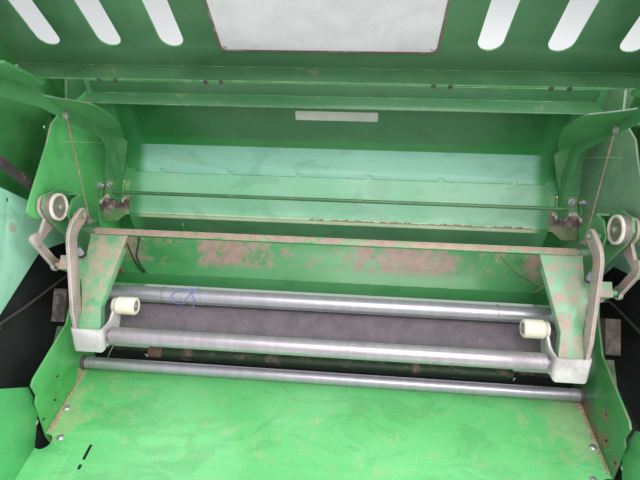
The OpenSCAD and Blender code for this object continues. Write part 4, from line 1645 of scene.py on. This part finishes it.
@dataclass
class WallDetails:
    """Seams on the side walls, plates beside and behind them, the black ones painted shade, rods
    and canisters.
    """

    closers: tuple[Closer, ...] = (
        Closer("corner_closer", "dark_green_paint", Finish.SHELL_PAINT,
               ((0.7035, -0.284), (0.7445, -0.284), (0.7445, 0.435), (0.7035, 0.435)), -0.003,
               y=-0.0012),
        # Black plate outside the wall: painted shade.
        Closer("rear_guard", "guard_black", Finish.GUARD,
               ((-0.0042, -0.284), (-0.0042, 0.112), (-0.140, 0.112), (-0.205, 0.020),
                (-0.205, -0.240), (-0.170, -0.284)), 0.003, x=0.7400),
        Closer("bracket_closer", "dark_metal", Finish.GUSSET_PAINT,
               ((0.5700, -0.030), (0.6545, -0.030), (0.6545, 0.072), (0.5700, 0.072)), -0.003,
               y=-0.066),
        # Black plate beside the tray's wing: painted shade.
        Closer("wing_seal", "black_rubber", Finish.GUARD,
               ((-0.590, -0.140), (-0.720, -0.190), (-0.735, -0.286), (-0.600, -0.286)), 0.003,
               x=0.6720),
    )

    def build(self) -> None:
        """Builds both sides."""
        for side in Side:
            seam = Draft(f"wall_seam_{side.word}", "housing", "green_paint", (Finish.TRAY_EDGE,))
            line = ((-0.012, 0.234), (-0.06, 0.263), (-0.115, 0.295), (-0.174, 0.328))
            seam.tube(at_x(side.value * (WALL_X - 0.0002), line), 0.0011, 8)
            seam.done()
            self.outside(side)
            for closer in self.closers:
                closer.build(side)
            self.slots(side)
        for side in Side:
            self.canister(side)
        # A black sheet across the unit behind the lower roller: painted shade in the gap past the
        # rollers.
        shade_sheet = Draft("rear_seal", "housing", "black_rubber", (Finish.GUARD,))
        outline = ((-0.6535, -0.288), (0.6535, -0.288), (0.6535, -0.198), (0.507, -0.198),
                   (0.503, -0.224), (-0.503, -0.224), (-0.507, -0.198), (-0.6535, -0.198))
        shade_sheet.slab(at_y(-0.3955, outline), (0, 0.003, 0))
        shade_sheet.done()
        rib = Draft("lip_rib", "housing", "green_paint", (Finish.GUSSET_PAINT,))
        outline = ((-0.1252, 0.050), (-0.1340, 0.046), (-0.1340, 0.016), (-0.1252, 0.012))
        rib.slab(at_x(-0.4265, outline), (0.0045, 0, 0))
        rib.done()

    def slots(self, side: Side) -> None:
        """Closes the wall's and the tray's slots from behind with black: painted shade seen through
        them.

        Args:
            side: Side of the unit.
        """
        s = side.value
        caps = Draft(f"slot_covers_{side.word}", "housing", "black_rubber", (Finish.GUARD,))
        for y, z, turn in ((-0.532, -0.131, 60), (-0.573, -0.172, 30), (-0.625, -0.170, 50)):
            sine, cosine = math.sin(math.radians(turn)), math.cos(math.radians(turn))
            corners = at_x(s * 0.6602, [(y + u * cosine - v * sine, z + u * sine + v * cosine)
                                        for u, v in round_outline(0.010, 0.020, 0.004)])
            caps.slab(corners, (s * 0.0012, 0, 0))
        caps.done()
        # Black strip under the tray's slot: painted shade.
        under = Draft(f"tray_slot_strip_{side.word}", "housing", "black_rubber", (Finish.GUARD,))
        corners = [TRAY.at(s * 0.531 + u, 0.247 + v, lift=-0.0052)
                   for u, v in round_outline(0.020, 0.080, 0.005)]
        under.slab(corners, (0, 0, -0.0015))
        under.done()

    def outside(self, side: Side) -> None:
        """Adds the rod and the dusty plates between the wall and the guard, seen past the linkage.

        Args:
            side: Side of the unit.
        """
        s = side.value
        rod = Draft(f"side_rod_{side.word}", "housing", "grey_metal", (Finish.DARK_ROD,))
        line = ((0.7300, -0.530, 0.040), (0.7320, -0.517, 0.046), (0.7330, -0.419, 0.008),
                (0.7330, -0.276, -0.040), (0.7200, -0.252, -0.048), (0.6610, -0.250, -0.048))
        rod.tube(smooth_path([(s * x, y, z) for x, y, z in line]), 0.0034, 10)
        rod.done()
        plates = Draft(f"side_plates_{side.word}", "housing", "dark_metal", (Finish.PLATE_DIRT,))
        block = ((-0.372, 0.015), (-0.430, -0.045), (-0.402, -0.072), (-0.328, -0.033))
        wedge = ((-0.425, -0.070), (-0.487, -0.109), (-0.440, -0.122), (-0.391, -0.106))
        for outline, depth in ((block, 0.034), (wedge, 0.030)):
            plates.slab(at_x(s * OUTER_X, outline), (s * depth, 0, 0))
        plates.done(25)

    def canister(self, side: Side) -> None:
        """Adds the small grey canister with a blank label beside the gusset.

        Args:
            side: Side of the unit.
        """
        s = side.value
        draft = Draft(f"canister_{side.word}", "brake_frame", "dark_metal",
                      (Finish.STRUT_PAINT, Finish.GREY_LABEL))
        top, foot = Vector((s * 0.5985, -0.357, 0.158)), Vector((s * 0.5955, -0.349, 0.110))
        draft.lathe(top, foot - top,
                    [(0, 0), (0.0050, 0), (0.0078, 0.003), (0.0078, 0.012), (0.0078, 0.045),
                     (0.0070, 0.048), (0, 0.048)], 24, 0)
        draft.lathe(top, foot - top,
                    [(0.0078, 0.014), (0.0081, 0.0142), (0.0081, 0.038), (0.0078, 0.0382)], 24, 1,
                    True)
        stalk = [top + Vector((0, 0.001, -0.004)), (s * 0.6010, -0.346, 0.180),
                 (s * 0.6060, -0.322, 0.202)]
        draft.tube(stalk, 0.0028, 8, 0)
        draft.done()


@dataclass
class HoodDetails:
    """Blank plate with its rim and rivets, bolt ends, a blank sticker, and the struts' ends."""

    plate_width: float = 0.420
    plate_low: float = 0.045
    plate_high: float = 0.330
    rivet_in: float = 0.012
    strut_x: float = 0.680
    bolts_at: tuple[float, ...] = (-0.449, -0.416, -0.234, -0.203, 0.203, 0.234, 0.416, 0.449)

    def build(self) -> None:
        """Builds all of it."""
        self.plate()
        ends = Draft("hood_bolt_ends", "hood", "dark_metal", (Finish.DARK_METAL,))
        for x in self.bolts_at:
            ends.lathe((x, -0.2815, 0.5285), (0, -1, -0.35),
                       [(0, 0), (0.0046, 0), (0.0046, 0.0022), (0.0030, 0.0030), (0.0026, 0.0042),
                        (0, 0.0044)], 14)
        ends.done()
        decal = Draft("blank_sticker", "housing", "green_paint", (Finish.STICKER,))
        outline = [(0.005 + a, 0.3345 + b) for a, b in round_outline(0.214, 0.025, 0.003, 4)]
        decal.slab(at_y(-0.0123, outline), (0, -0.0005, 0))
        decal.done()
        for side in Side:
            self.strut_ends(side)

    def plate(self) -> None:
        """Builds the plate with rounded corners, a rim and four rivets."""
        draft = Draft("blank_plate", "hood", "blank_plate",
                      (Finish.PLATE_FOIL, Finish.FRAME_RIM, Finish.ZINC))
        middle, high = (self.plate_low + self.plate_high) / 2, self.plate_high - self.plate_low
        outer = round_outline(self.plate_width, high, 0.014)
        inner = round_outline(self.plate_width - 0.009, high - 0.009, 0.011)
        thick = 0.0013 * Vector(HOOD.normal)
        draft.slab([HOOD.at(a, middle + b, 0.0002) for a, b in outer], thick, 0)
        count = len(outer)
        low_out, low_in, high_out, high_in = (
            [draft.build.verts.new(HOOD.at(a, middle + b, level)) for a, b in shape]
            for level in (0.0015, 0.0021) for shape in (outer, inner))
        for k in range(count):
            n = (k + 1) % count
            for quad in ((low_out[k], low_out[n], high_out[n], high_out[k]),
                         (high_out[k], high_out[n], high_in[n], high_in[k]),
                         (high_in[k], high_in[n], low_in[n], low_in[k]),
                         (low_in[k], low_in[n], low_out[n], low_out[k])):
                draft.build.faces.new(quad).material_index = 1
        for sx in (-1, 1):
            for up in (self.plate_low + self.rivet_in, self.plate_high - self.rivet_in):
                at = HOOD.at(sx * (self.plate_width / 2 - self.rivet_in), up, 0.0016)
                draft.lathe(at, thick,
                            [(0, 0), (0.0034, 0), (0.0030, 0.0010), (0.0016, 0.0016), (0, 0.0018)],
                            14, 2)
        draft.done(replaced=("hood_plate",))

    def strut_ends(self, side: Side) -> None:
        """Adds the barrel's end collar, the ball joint's cap and the nut on the foot's stud.

        Args:
            side: Side of the unit.
        """
        word, out = side.word, Vector(side.outward)
        foot = Vector((side.value * self.strut_x, -0.215, 0.122))
        pin = Vector(HOOD.at(side.value * self.strut_x, 0.150, 0.206))
        along = (pin - foot).normalized()
        collar = Draft(f"strut_collar_{word}", f"strut_barrel_{word}", "strut_black",
                       (Finish.STRUT_PAINT,))
        collar.lathe(foot + 0.286 * along, along,
                     [(0.0111, 0), (0.0124, 0.0010), (0.0124, 0.0110), (0.0112, 0.0146),
                      (0.0058, 0.0150), (0.0058, 0.0141), (0.0111, 0.0139)], 32)
        collar.done()
        cap = Draft(f"ball_cap_{word}", f"strut_rod_{word}", "dark_metal", (Finish.DULL_ZINC,))
        cap.lathe(pin + 0.0071 * out, out,
                  [(0, 0), (0.0105, 0), (0.0105, 0.0014), (0.0080, 0.0034), (0.0036, 0.0046),
                   (0, 0.0048)], 24)
        cap.done()
        nut = Draft(f"foot_nut_{word}", "housing", "grey_metal", (Finish.ZINC,))
        nut.lathe(foot + 0.0092 * out, out,
                  [(0, 0), (0.0100, 0), (0.0100, 0.0060), (0.0086, 0.0070), (0.0046, 0.0070),
                   (0.0044, 0.0092), (0, 0.0092)], 6)
        nut.done()


@dataclass
class Debris:
    """Net strands, straw, crumbs, dust, lumps of dirt and thin cables left on the sheets."""

    specks: Drops = field(default_factory=lambda: Drops(0.0016, 3))

    def build(self) -> None:
        """Builds every kind."""
        self.strands()
        self.straws()
        self.cables()
        self.crumbs()
        for side in Side:
            self.seam_dust(side)
        self.lip_dirt()
        for side in Side:
            self.lumps(side)

    def strands(self) -> None:
        """Lays three blue net strands over the upper tube."""
        draft = Draft("net_strands", "housing", "black_rubber", (Finish.NET_BLUE,))
        for path in (((-0.340, -0.301, -0.0290), (-0.346, -0.314, -0.0190),
                      (-0.352, -0.330, -0.0168), (-0.362, -0.343, -0.0245),
                      (-0.374, -0.350, -0.0410), (-0.384, -0.352, -0.0540)),
                     ((-0.352, -0.312, -0.0200), (-0.372, -0.322, -0.0162),
                      (-0.393, -0.331, -0.0166), (-0.404, -0.341, -0.0226),
                      (-0.397, -0.349, -0.0390), (-0.383, -0.350, -0.0430)),
                     ((-0.344, -0.3260, -0.0158), (-0.350, -0.336, -0.0180),
                      (-0.343, -0.346, -0.0300), (-0.347, -0.352, -0.0500))):
            draft.tube(smooth_path(path, 6), 0.0011, 6)
        draft.done()

    def straws(self) -> None:
        """Drops bits of straw on the deflector and in the channel above it."""
        draft = Draft("straw_bits", "housing", "green_paint", (Finish.STRAW,))
        for x, down, turn, length in (
                (-0.557, 0.006, 0.4, 0.022), (-0.517, 0.018, 1.1, 0.016),
                (-0.509, 0.004, 0.1, 0.018), (-0.484, 0.020, 2.0, 0.014),
                (-0.590, 0.048, 0.9, 0.020), (-0.575, 0.012, 1.5, 0.017),
                (-0.555, 0.030, 0.3, 0.012), (0.530, 0.020, 0.7, 0.018),
                (0.575, 0.034, 2.3, 0.015), (-0.40, 0.016, 0.2, 0.013),
                (-0.21, 0.044, 1.9, 0.011), (0.12, 0.026, 0.5, 0.012)):
            half = length / 2
            dx, dd = half * math.cos(turn), half * math.sin(turn)
            ends = [DEFLECTOR.at(x - dx, max(0.002, down - dd), 0.0042),
                    DEFLECTOR.at(x, down, 0.0052), DEFLECTOR.at(x + dx, down + dd, 0.0042)]
            draft.tube(smooth_path(ends, 3), 0.0009, 6)
        draft.done()

    def cables(self) -> None:
        """Lays cables and wires down the deflector's ends, and a bent wire on the bracket."""
        black = (((-0.563, 0.002), (-0.565, 0.030), (-0.566, 0.056), (-0.552, 0.084),
                  (-0.534, 0.104)),
                 ((-0.598, 0.022), (-0.586, 0.046), (-0.560, 0.086), (-0.538, 0.106)))
        pale = (((0.468, 0.004), (0.501, 0.040), (0.548, 0.072), (0.578, 0.088)),
                ((0.590, 0.078), (0.572, 0.098), (0.553, 0.106)))
        for name, slot, finish, lines, out, radius in (
                ("black_cables", "black_rubber", Finish.BLACK_CABLE, black, 0.0062, 0.0021),
                ("pale_wires", "grey_metal", Finish.STRAW, pale, 0.0054, 0.0013)):
            draft = Draft(name, "housing", slot, (finish,))
            for line in lines:
                path = smooth_path([DEFLECTOR.at(x, down, out) for x, down in line])
                draft.tube(path, radius, 8)
            draft.done()
        bent = Draft("bent_wire", "brake_frame", "grey_metal", (Finish.DULL_ZINC,))
        path = smooth_path([(-0.5195, -0.462, -0.0500), (-0.5230, -0.468, -0.0760),
                            (-0.5420, -0.465, -0.1080), (-0.5600, -0.458, -0.1400),
                            (-0.5640, -0.456, -0.1460)])
        bent.tube(path, 0.0012, 8)
        bent.done()

    def crumbs(self) -> None:
        """Gathers crumbs along the seams between tray and walls, and drops some on the tray."""
        spots = []
        for side in Side:
            for k in range(150):
                wander = 0.0026 * math.sin(7.3 * k) + 0.0016 * math.sin(0.21 * k + side.value)
                spots.append((side.value * (0.6500 + wander), 0.004 + 0.00125 * k))
        spots += [(-0.612, 0.034), (-0.585, 0.105), (-0.544, 0.074), (-0.38, 0.055), (-0.18, 0.031),
                  (0.22, 0.052), (0.41, 0.128), (0.547, 0.091), (0.604, 0.060), (0.618, 0.142),
                  (0.589, 0.176), (-0.48, 0.19)]
        places = [(TRAY.at(x, down, lift=0.0002), TRAY.normal, 1.0) for x, down in spots]
        self.specks.put("seam_crumbs", places, Finish.SEAM_DIRT, "housing", "green_paint")

    def seam_dust(self, side: Side) -> None:
        """Banks dust in the seam between the tray and a wall, wider at one end.

        Args:
            side: Side of the unit.
        """
        draft = Draft(f"seam_dust_{side.word}", "housing", "green_paint", (Finish.SEAM_DIRT,))
        inner = []
        for k in range(75):
            bank = max(0.0, 1 - k / 26 if side is Side.RIGHT else (k - 44) / 30)
            wave = (0.0016 * math.sin(0.43 * k) + 0.0010 * math.sin(1.1 * k)
                    + 0.0012 * bank * math.sin(2.3 * k))
            inner.append((side.value * (0.6496 - wave - 0.0095 * bank), 0.006 + 0.0025 * k))
        edge = [(side.value * 0.6535, down) for _, down in reversed(inner)]
        corners = [TRAY.at(x, down, lift=0.0001) for x, down in inner + edge]
        draft.slab(corners, (0, 0, 0.0009))
        draft.done()

    def lip_dirt(self) -> None:
        """Cakes dirt in patches along the right half of the cradle's worn lip."""
        draft = Draft("lip_dirt", "housing", "green_paint", (Finish.LIP_DIRT,))
        for start, end in ((-0.065, -0.020), (-0.005, 0.118), (0.126, 0.236), (0.243, 0.418),
                           (0.424, 0.538)):
            count = max(6, int((end - start) / 0.004))
            upper, lower = [], []
            for k in range(count + 1):
                x = start + (end - start) * k / count
                swell = math.sin(math.pi * k / count) ** 0.4 if 0 < k < count else 0.0
                wave = 0.5 + 0.28 * math.sin(190 * x) + 0.22 * math.sin(471 * x + 1)
                upper.append(CRADLE.at(x, 0.0012 + 0.0058 * swell * wave, 0.0001))
                lower.append(CRADLE.at(x, 0.0006, 0.0001))
            draft.slab(upper + lower[::-1], 0.0008 * Vector(CRADLE.normal))
        draft.done()

    def lumps(self, side: Side) -> None:
        """Adds dried lumps of dirt in the corner below the cradle.

        Args:
            side: Side of the unit.
        """
        draft = Draft(f"dirt_lumps_{side.word}", "housing", "dark_metal", (Finish.DIRT,))
        for i, (x, down, size) in enumerate(((0.648, 0.085, 0.012), (0.614, 0.094, 0.009),
                                             (0.636, 0.108, 0.010), (0.606, 0.104, 0.007))):
            middle = Vector(DEFLECTOR.at(side.value * x, down, 0.003))
            ball = bmesh.ops.create_icosphere(draft.build, subdivisions=3, radius=size)
            for vert in ball["verts"]:
                co = vert.co.copy()
                swell = (1 + 0.22 * math.sin(310 * co.x + 2.1 * i) * math.sin(270 * co.y + i)
                         + 0.12 * math.sin(520 * co.z + i))
                vert.co = middle + Vector((co.x, co.y, 0.55 * co.z)) * swell
        draft.done(60)


# ---------------------------------------------------------------------------------------------
# Stage, lights and camera
# ---------------------------------------------------------------------------------------------
@dataclass
class Studio:
    """Plain pale floor, soft lamps and a camera that sees what the photo's camera saw."""

    eye: Point = (0.074, -1.173, 0.888)
    right: Point = (0.99597107, 0.08824256, -0.01596516)
    down: Point = (0.04435587, -0.63949484, -0.76751476)
    ahead: Point = (-0.0779371, 0.76371435, -0.64083243)
    focal_px: float = 481.0
    frame_px: float = 640.0
    sensor: float = 36.0
    floor_z: float = -0.3
    floor_half: float = 7.0
    pale: Colour = (0.86, 0.86, 0.85)
    sky: Colour = (0.93, 0.97, 1.0)
    fill: float = 0.68
    lamps: dict[str, tuple[Point, Point, float, float, Colour]] = field(default_factory=lambda: {
        "key": ((0.7, -1.9, 2.6), (0.0, -0.35, 0.0), 2.2, 60.0, (1.0, 0.99, 0.96)),
        "top": ((0.0, -0.55, 3.0), (0.0, -0.4, 0.0), 1.6, 26.0, (0.96, 0.98, 1.0)),
        "side": ((2.5, -1.2, 1.6), (-0.3, -0.3, 0.0), 1.3, 30.0, (1.0, 1.0, 1.0)),
        "back": ((0.6, 2.6, 2.2), (0.0, 0.0, 0.1), 1.8, 26.0, (1.0, 1.0, 1.0)),
    })

    def build(self) -> None:
        """Builds the stage, lamps, world and camera."""
        self.floor()
        for name, lamp in self.lamps.items():
            self.lamp(name, *lamp)
        self.world()
        self.camera()

    def floor(self) -> None:
        """Lays the floor, marked as stage."""
        build = bmesh.new()
        h = self.floor_half
        square = ((-h, -h), (h, -h), (h, h), (-h, h))
        build.faces.new([build.verts.new((x, y, self.floor_z)) for x, y in square])
        floor = bpy.data.objects.new("floor", mesh_of("floor", build))
        g = ShaderGraph("floor_pale")
        tone = g.noise(3, 2)
        base = g.mix(g.scaled(tone, 0, 0.04), self.pale, (0.7, 0.7, 0.7))
        floor.data.materials.append(g.finish(base, 0.7, specular=0.2))
        bpy.context.scene.collection.objects.link(floor)

    def lamp(self, name: str, place: Point, target: Point, size: float, power: float,
             colour: Colour) -> None:
        """Adds one area lamp.

        Args:
            name: Name of the lamp.
            place: Where it hangs.
            target: What it points at.
            size: Side of its square.
            power: Its power in watts.
            colour: Its colour.
        """
        data = bpy.data.lights.new(name, "AREA")
        data.shape, data.size, data.energy, data.color = "SQUARE", size, power, colour
        obj = bpy.data.objects.new(name, data)
        obj.location = place
        obj.rotation_euler = (Vector(target) - Vector(place)).to_track_quat("-Z", "Y").to_euler()
        bpy.context.scene.collection.objects.link(obj)

    def world(self) -> None:
        """Lights from all round, and shows a pale backdrop to camera, gloss and glass rays."""
        world = bpy.data.worlds.new("studio")
        bpy.context.scene.world = world
        world.use_nodes = True
        nodes, links = world.node_tree.nodes, world.node_tree.links
        nodes.clear()
        output = nodes.new("ShaderNodeOutputWorld")
        path, mixer = nodes.new("ShaderNodeLightPath"), nodes.new("ShaderNodeMixShader")
        sees = path.outputs["Is Camera Ray"]
        for ray in ("Is Glossy Ray", "Is Transmission Ray"):
            either = nodes.new("ShaderNodeMath")
            either.operation = "MAXIMUM"
            links.new(sees, either.inputs[0])
            links.new(path.outputs[ray], either.inputs[1])
            sees = either.outputs[0]
        links.new(sees, mixer.inputs[0])
        for place, (colour, strength) in enumerate(((self.sky, self.fill), (self.pale, 1.0)), 1):
            background = nodes.new("ShaderNodeBackground")
            background.inputs["Color"].default_value = (*colour, 1)
            background.inputs["Strength"].default_value = strength
            links.new(background.outputs[0], mixer.inputs[place])
        links.new(mixer.outputs[0], output.inputs[0])

    def camera(self) -> None:
        """Sets the camera where the photo was taken from."""
        data = bpy.data.cameras.new("photo_camera")
        data.sensor_fit, data.sensor_width = "HORIZONTAL", self.sensor
        data.lens = self.focal_px / self.frame_px * self.sensor
        data.clip_start, data.clip_end = 0.02, 60.0
        obj = bpy.data.objects.new("photo_camera", data)
        axes = Matrix((self.right, [-c for c in self.down], [-c for c in self.ahead]))
        obj.matrix_world = Matrix.Translation(self.eye) @ axes.transposed().to_4x4()
        bpy.context.scene.collection.objects.link(obj)
        bpy.context.scene.camera = obj
        bpy.context.scene.view_settings.view_transform = "Standard"


def main() -> None:
    """Builds the unit's looks in order."""
    stages = (Studio(), CadFinishes(), Fasteners(), Rigging(), HingeDetails(), BrakeDetails(),
              RollerDetails(), WallDetails(), HoodDetails(), Debris())
    for stage in stages:
        stage.build()
        log.info("built %s", type(stage).__name__)


if __name__ == "__main__":
    main()
